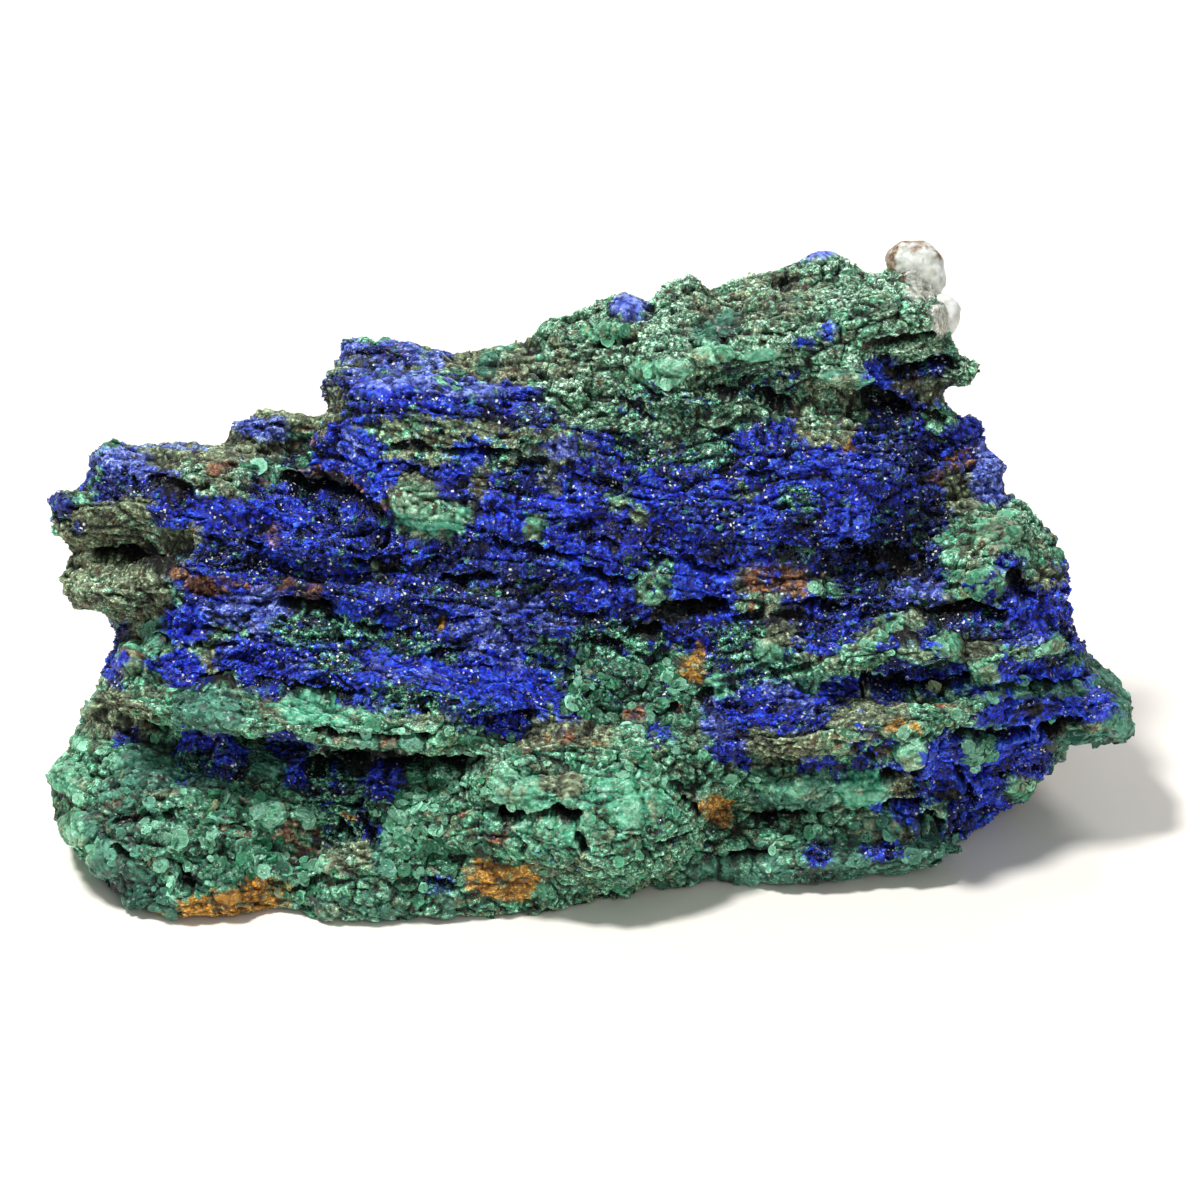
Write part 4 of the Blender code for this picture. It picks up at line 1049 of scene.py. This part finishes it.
def growGrains(name, rock, shares, tone):
    kind = grainKinds[name]
    count = kind["count"]
    rng = np.random.default_rng(sum(map(ord, name)))
    mesh = rock.data
    points, normals = positions(mesh), pointNormals(mesh)
    corners = triangleCorners(mesh)
    names = list(minerals)
    table = np.stack([shares[n] * kind["grows"].get(n, 0) for n in names], 1)
    wanted = table.sum(1)[corners].mean(1)
    left, *reaches = growth["back"]
    wanted *= left + (1 - left) * smoothStep(*reaches, toFace(points)[2][corners[:, 0]])
    thick = noiseAt(points, growth["clusters"], kind["size"][1] * 30, 2)
    clustered = smoothStep(*growth["clusterEdge"], thick)
    wanted *= growth["bare"] + (1 - growth["bare"]) * clustered[corners[:, 0]]
    sides = points[corners]
    area = np.linalg.norm(np.cross(sides[:, 1] - sides[:, 0], sides[:, 2] - sides[:, 0]), axis=1)
    chance = area * wanted * (sides[:, :, 2].min(1) > growth["clearOfBase"])
    chosen = rng.choice(len(corners), count, p=chance / chance.sum())
    weight = rng.dirichlet((1, 1, 1), count)

    def onSkin(values):
        return (values[corners[chosen]] * weight[:, :, None]).sum(1)

    place, normal = onSkin(points), onSkin(normals)
    ladder, under = onSkin(table).cumsum(1), onSkin(tone[:, None])[:, 0]
    # each grain is of one mineral, picked by its share there
    pick = (ladder < rng.random((count, 1)) * ladder[:, -1:]).sum(1).clip(0, len(names) - 1)
    # each grain starts from the skin's tone under it, painted shade of hollows and crevices included, and
    # varies at random
    light = np.clip(under + kind["tone"] + rng.normal(0, kind["varied"], count), 0, 1)

    seedPoints, seedCorners, seedShade = seedForm(kind["form"])
    many = len(seedPoints)
    pure = {n: np.repeat((pick == i).astype(float), many) for i, n in enumerate(names)}
    # each grain gets the painted shading of its own form
    shaded = np.clip(np.repeat(light, many) + np.tile(seedShade, count), 0, 1)
    colour, fleck, glossAndPaintedGlints = mineralColours(pure, shaded, np.repeat(rng.random(count), many))
    colour *= np.repeat(np.exp(rng.normal(0, kind["varied"], (count, 1))), many, 0)

    small, large = kind["size"]
    size = small * (large / small) ** (rng.random(count) ** growth["small"])
    axis = upward * kind["along"] + normal * (1 - kind["along"])
    axis = axis + rng.normal(0, kind["tilt"], (count, 3))
    axis /= np.linalg.norm(axis, axis=1)[:, None]
    side = np.cross(axis, rng.normal(0, 1, (count, 3)))
    side /= np.linalg.norm(side, axis=1)[:, None]
    third = np.cross(axis, side)
    flat = kind["flat"] * rng.uniform(*growth["flats"], (count, 1))
    stretch = rng.uniform(*growth["stretch"], (count, 1))
    shape = seedPoints[None] + rng.normal(0, kind["rough"], (count, many, 3))
    shape = shape * size[:, None, None]
    body = (
        shape[:, :, 0:1] * side[:, None] * stretch[:, None]
        + shape[:, :, 1:2] * third[:, None]
        + shape[:, :, 2:3] * axis[:, None] * flat[:, None])
    body += (place - normal * (size * kind["sink"])[:, None])[:, None]
    allCorners = (seedCorners[None] + (np.arange(count) * many)[:, None, None]).reshape(-1, 3)
    grainMesh = meshOf(name, insideBox(body.reshape(-1, 3)), allCorners)
    storeLooks(grainMesh, (colour, fleck, glossAndPaintedGlints), np.full(len(glossAndPaintedGlints), kind["crumb"]))
    grains = bpy.data.objects.new(name, grainMesh)
    bpy.context.scene.collection.objects.link(grains)
    if kind["form"] == "cup":
        selectOnly(grains)
        bpy.ops.object.shade_smooth_by_angle(angle=math.radians(50))
    print(name, len(allCorners), "triangles")
    return grains


# Milky quartz on the crown: each lump's place on the face (along, up, out) and its half sizes.
quartz = {
    "lumps": (
        ((52.6, 55.4, -10), (4.4, 4.2, 4.4)), ((50.6, 56.0, -10), (3.4, 3.4, 3.8)),
        ((54.6, 53.4, -9), (2.8, 3.0, 3.6)), ((57.2, 47.2, -6), (2.6, 3.6, 3.2)),
        ((56.4, 49.0, -7), (2.0, 1.8, 3.0)), ((12.2, 51.2, -6), (1.6, 1.6, 1.8)),
    ),
    "grid": 0.35, "smoothing": 6,
    "swell": (3.0, 0.35), "grit": (0.8, 0.12),   # size and height in mm
    # iron stains what lies above the one and left of the other, and spots of this size
    "stainAbove": 55, "stainLeftOf": 50.6, "stainSize": 1.6,
}


def growQuartz():
    balls = []
    for place, halfSizes in quartz["lumps"]:
        bpy.ops.object.select_all(action="DESELECT")
        along, up, out = halfSizes
        bpy.ops.mesh.primitive_uv_sphere_add(
            segments=32, ring_count=16, radius=1, location=fromFace(*place),
            scale=(along * mm, out * mm, up * mm), rotation=(-math.radians(face["lean"]), 0, 0))
        bpy.ops.object.transform_apply(location=True, rotation=True, scale=True)
        balls.append(bpy.context.object)
    selectOnly(balls[0])
    for ball in balls:
        ball.select_set(True)
    bpy.ops.object.join()
    lump = bpy.context.object
    lump.name = "quartz_knobs"
    remesh(lump, quartz["grid"], quartz["smoothing"])
    selectFaces(lump, np.ones(len(lump.data.polygons), bool))
    bpy.ops.mesh.quads_convert_to_tris()
    bpy.ops.object.mode_set(mode="OBJECT")
    mesh = lump.data
    points, normals = positions(mesh), pointNormals(mesh)
    for size, height in (quartz["swell"], quartz["grit"]):
        points += normals * (noiseAt(points, size, 71.0, 2) * height)[:, None]
    setPositions(mesh, points)
    along, up, out = toFace(points)
    patchy = noiseAt(points, quartz["stainSize"], 77.0, 3) * 0.5
    stain = smoothStep(0.35, 0.75, (up - quartz["stainAbove"]) / 6 + patchy)
    stain += smoothStep(0.2, 0.6, (quartz["stainLeftOf"] - along) / 4 + patchy)
    stain += smoothStep(0.3, 0.5, patchy) * 0.5
    storeNumber(mesh, "stain", np.clip(stain, 0, 1))
    selectOnly(lump)
    bpy.ops.object.shade_smooth()
    print("quartz", len(mesh.polygons), "triangles")
    return lump


crustFinish = {
    # how much darker and lighter one crystal is than the next, and the crumbs between them: painted shade
    # in their pits and painted highlight on their tops
    "crystalTone": (0.5, 2.0), "crumbs": (0.38, 0.56), "paintedCrumbShading": (0.2, 1.35),
    # painted shade in dark creases: mm from one to the next, width as noise, and how dark
    "creases": ((2.2, 0.03, 0.1), (0.9, 0.05, 0.3)), "creaseLight": 1.1, "creaseFlat": (0.75, 1.0, 1.5),
    "darkest": 0.03,
    "strays": (0.97, 0.975, 0.9),        # from which crystals on another mineral shows, and how much
    "clusters": 4,                       # mm across a cluster of crystals with painted glints
    # painted glints: pale base colour where a crystal would flash in the lamp; where they show, how sharp
    # their edge is, how strong, and their colour
    "clusterEdge": (0.45, 0.6), "paintedGlintShare": (-0.995, -0.96), "paintedGlintEdge": 0.004, "paintedGlint": 1.3,
    "paintedGlintColour": "#eef6f4",
    "roughness": (0.85, 0.3),            # of dull and of glassy crystals
    "tilt": 0.7,                         # how far the crystals' faces lean apart
    "ior": 1.7, "specular": 0.3,
}


def copperOreCrust(name, grain, bump):
    # Azurite and malachite crust, as it grew in the ore: small dull to glassy crystals that each
    # catch the light their own way, with painted shade in the pits and creases between them, painted
    # glints here and there, and flecks of other minerals.
    # grain is the width of the crystals and bump their height, both in mm.
    material = bpy.data.materials.new(name)
    material.use_nodes = True
    tree = material.node_tree
    shader = tree.nodes["Principled BSDF"]
    place = addNode(tree, "ShaderNodeTexCoord").outputs["Object"]
    own, other, glossAndPaintedGlints, crumb = (
        addNode(tree, "ShaderNodeAttribute", {"attribute_name": stored})
        for stored in ("mineralColour", "fleckColour", "glossAndPaintedGlints", "crumb"))
    crystals = addNode(tree, "ShaderNodeTexVoronoi", {"Scale": 1 / (grain * mm)}, {"Vector": place})
    pick = addNode(tree, "ShaderNodeSeparateColor", None, {"Color": crystals.outputs["Color"]})
    sparse = addNode(tree, "ShaderNodeMath", {"operation": "POWER", 1: 2.0}, {0: pick.outputs["Red"]})
    low, high = crustFinish["crystalTone"]
    crystalTone = addNode(
        tree, "ShaderNodeMapRange", {"To Min": low, "To Max": high}, {"Value": sparse.outputs["Value"]})
    # painted shade in the crumbs' pits and painted highlight on their tops, from the same noise as their
    # bump
    crumbs = addNode(
        tree, "ShaderNodeTexNoise", {"Scale": 1 / (grain * 2 * mm), "Detail": 4, "Roughness": 0.7},
        {"Vector": place})
    (start, end), (low, high) = crustFinish["crumbs"], crustFinish["paintedCrumbShading"]
    paintedCrumbShading = addNode(
        tree, "ShaderNodeMapRange", {"From Min": start, "From Max": end, "To Min": low, "To Max": high},
        {"Value": crumbs.outputs["Fac"]})
    light = addNode(
        tree, "ShaderNodeMath", {"operation": "MULTIPLY"},
        {0: crystalTone.outputs["Result"], 1: paintedCrumbShading.outputs["Result"]})
    # painted shade: dark creases wander along the beds, finer than the mesh could show them
    flattened = addNode(
        tree, "ShaderNodeMapping", {"Scale": crustFinish["creaseFlat"], "Rotation": (0, math.radians(3), 0)},
        {"Vector": place})
    for size, width, dark in crustFinish["creases"]:
        folds = addNode(
            tree, "ShaderNodeTexNoise", {"Scale": 1 / (size * mm), "Detail": 4, "Roughness": 0.7},
            {"Vector": flattened.outputs["Vector"]})
        off = addNode(tree, "ShaderNodeMath", {"operation": "SUBTRACT", 1: 0.5}, {0: folds.outputs["Fac"]})
        near = addNode(tree, "ShaderNodeMath", {"operation": "ABSOLUTE"}, {0: off.outputs["Value"]})
        line = addNode(
            tree, "ShaderNodeMapRange",
            {"From Max": width, "To Min": dark, "To Max": crustFinish["creaseLight"]},
            {"Value": near.outputs["Value"]})
        light = addNode(
            tree, "ShaderNodeMath", {"operation": "MULTIPLY"},
            {0: light.outputs["Value"], 1: line.outputs["Result"]})
    # smooth minerals show less of it, crumbly ones more
    mixedTone = addNode(
        tree, "ShaderNodeMix", {"clamp_factor": False, "A": 1.0},
        {"Factor": crumb.outputs["Fac"], "B": light.outputs["Value"]})
    shown = addNode(
        tree, "ShaderNodeMath", {"operation": "MAXIMUM", 1: crustFinish["darkest"]},
        {0: mixedTone.outputs["Result"]})
    start, end, much = crustFinish["strays"]
    isOther = addNode(
        tree, "ShaderNodeMapRange", {"From Min": start, "From Max": end, "To Max": much},
        {"Value": pick.outputs["Green"]})
    mixed = addNode(
        tree, "ShaderNodeMix", {"data_type": "RGBA"},
        {"Factor": isOther.outputs["Result"], "A": own.outputs["Color"], "B": other.outputs["Color"]})
    tint = addNode(
        tree, "ShaderNodeVectorMath", {"operation": "SCALE"},
        {0: mixed.outputs["Result"], "Scale": shown.outputs["Value"]})
    # painted glints: pale base colour on crystals here and there in clusters, where they would flash in the
    # lamp
    clusters = addNode(
        tree, "ShaderNodeTexNoise", {"Scale": 1 / (crustFinish["clusters"] * mm), "Detail": 2},
        {"Vector": place})
    (start, end), (low, high) = crustFinish["clusterEdge"], crustFinish["paintedGlintShare"]
    often = addNode(
        tree, "ShaderNodeMapRange", {"From Min": start, "From Max": end, "To Min": low, "To Max": high},
        {"Value": clusters.outputs["Fac"]})
    over = addNode(
        tree, "ShaderNodeMath", {"operation": "ADD"}, {0: pick.outputs["Blue"], 1: often.outputs["Result"]})
    isPaintedGlint = addNode(
        tree, "ShaderNodeMapRange", {"From Max": crustFinish["paintedGlintEdge"], "To Max": crustFinish["paintedGlint"]},
        {"Value": over.outputs["Value"]})
    paintedGlint = addNode(
        tree, "ShaderNodeMath", {"operation": "MULTIPLY", "use_clamp": True},
        {0: isPaintedGlint.outputs["Result"], 1: glossAndPaintedGlints.outputs["Fac"]})
    pale = addNode(
        tree, "ShaderNodeMix", {"data_type": "RGBA", "B": (*toLinear(crustFinish["paintedGlintColour"]), 1)},
        {"Factor": paintedGlint.outputs["Value"], "A": tint.outputs["Vector"]})
    dull, glassy = crustFinish["roughness"]
    sheen = addNode(
        tree, "ShaderNodeMapRange", {"To Min": dull, "To Max": glassy}, {"Value": glossAndPaintedGlints.outputs["Fac"]})
    rough = addNode(
        tree, "ShaderNodeMath", {"operation": "MULTIPLY", "use_clamp": True},
        {0: sheen.outputs["Result"], 1: crystalTone.outputs["Result"]})
    relief = addNode(
        tree, "ShaderNodeBump", {"Distance": bump * mm},
        {"Height": crumbs.outputs["Fac"], "Strength": crumb.outputs["Fac"]})
    lean = crustFinish["tilt"]
    tilt = addNode(
        tree, "ShaderNodeVectorMath", {"operation": "MULTIPLY_ADD", 1: (lean,) * 3, 2: (-lean / 2,) * 3},
        {0: crystals.outputs["Color"]})
    facing = addNode(
        tree, "ShaderNodeVectorMath", {"operation": "ADD"},
        {0: relief.outputs["Normal"], 1: tilt.outputs["Vector"]})
    facet = addNode(tree, "ShaderNodeVectorMath", {"operation": "NORMALIZE"}, {0: facing.outputs["Vector"]})
    tree.links.new(pale.outputs["Result"], shader.inputs["Base Color"])
    tree.links.new(rough.outputs["Value"], shader.inputs["Roughness"])
    tree.links.new(facet.outputs["Vector"], shader.inputs["Normal"])
    shader.inputs["IOR"].default_value = crustFinish["ior"]
    shader.inputs["Specular IOR Level"].default_value = crustFinish["specular"]
    return material


quartzFinish = {
    # mm across, where the noise runs from one colour to the other, and the two colours
    "clouds": (2.2, 0.35, 0.62, "#c4c8ba", "#f2f5f0"), "stain": (0.7, 0.38, 0.6, "#5c4030", "#b09c84"),
    "bump": (0.6, 0.2),      # strength and height in mm
    "Roughness": 0.35, "IOR": 1.544, "Transmission Weight": 0.1, "Subsurface Weight": 0.3,
    "Subsurface Radius": (1.0, 1.0, 0.9), "Subsurface Scale": 1.5 * mm,
}


def milkyQuartz():
    # Milky vein quartz, water worn: light goes a little way in and comes back white, under a soft
    # gloss, with iron stain where it met the ore.
    material = bpy.data.materials.new("milky_quartz")
    material.use_nodes = True
    tree = material.node_tree
    shader = tree.nodes["Principled BSDF"]
    place = addNode(tree, "ShaderNodeTexCoord").outputs["Object"]
    stain = addNode(tree, "ShaderNodeAttribute", {"attribute_name": "stain"})
    tints = []
    for (size, start, end, dark, light), detail in ((quartzFinish["clouds"], 4), (quartzFinish["stain"], 3)):
        veins = addNode(
            tree, "ShaderNodeTexNoise", {"Scale": 1 / (size * mm), "Detail": detail}, {"Vector": place})
        tint = addNode(tree, "ShaderNodeValToRGB", None, {"Fac": veins.outputs["Fac"]})
        for element, at, colour in zip(tint.color_ramp.elements, (start, end), (dark, light)):
            element.position, element.color = at, (*toLinear(colour), 1)
        tints.append(tint.outputs["Color"])
    mixed = addNode(
        tree, "ShaderNodeMix", {"data_type": "RGBA"},
        {"Factor": stain.outputs["Fac"], "A": tints[0], "B": tints[1]})
    # the finer noise is its grit too
    strength, height = quartzFinish["bump"]
    bump = addNode(
        tree, "ShaderNodeBump", {"Strength": strength, "Distance": height * mm},
        {"Height": veins.outputs["Fac"]})
    tree.links.new(mixed.outputs["Result"], shader.inputs["Base Color"])
    tree.links.new(bump.outputs["Normal"], shader.inputs["Normal"])
    for setting, value in quartzFinish.items():
        if setting in shader.inputs:
            shader.inputs[setting].default_value = value
    return material


def finish(obj, material):
    obj.data.materials.clear()
    obj.data.materials.append(material)
    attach(obj, "root")
    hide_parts(rockNode)


addCamera()
addStudio()
print("camera and studio")
rock, shares, tone = growSkin()
crystals = copperOreCrust("carbonate_crystals", 0.36, 0.15)
for name in grainKinds:
    finish(growGrains(name, rock, shares, tone), crystals)
crust = copperOreCrust("copper_ore_crust", 0.38, 0.3)
for piece in cutSkin(rock):
    finish(piece, crust)
finish(growQuartz(), milkyQuartz())
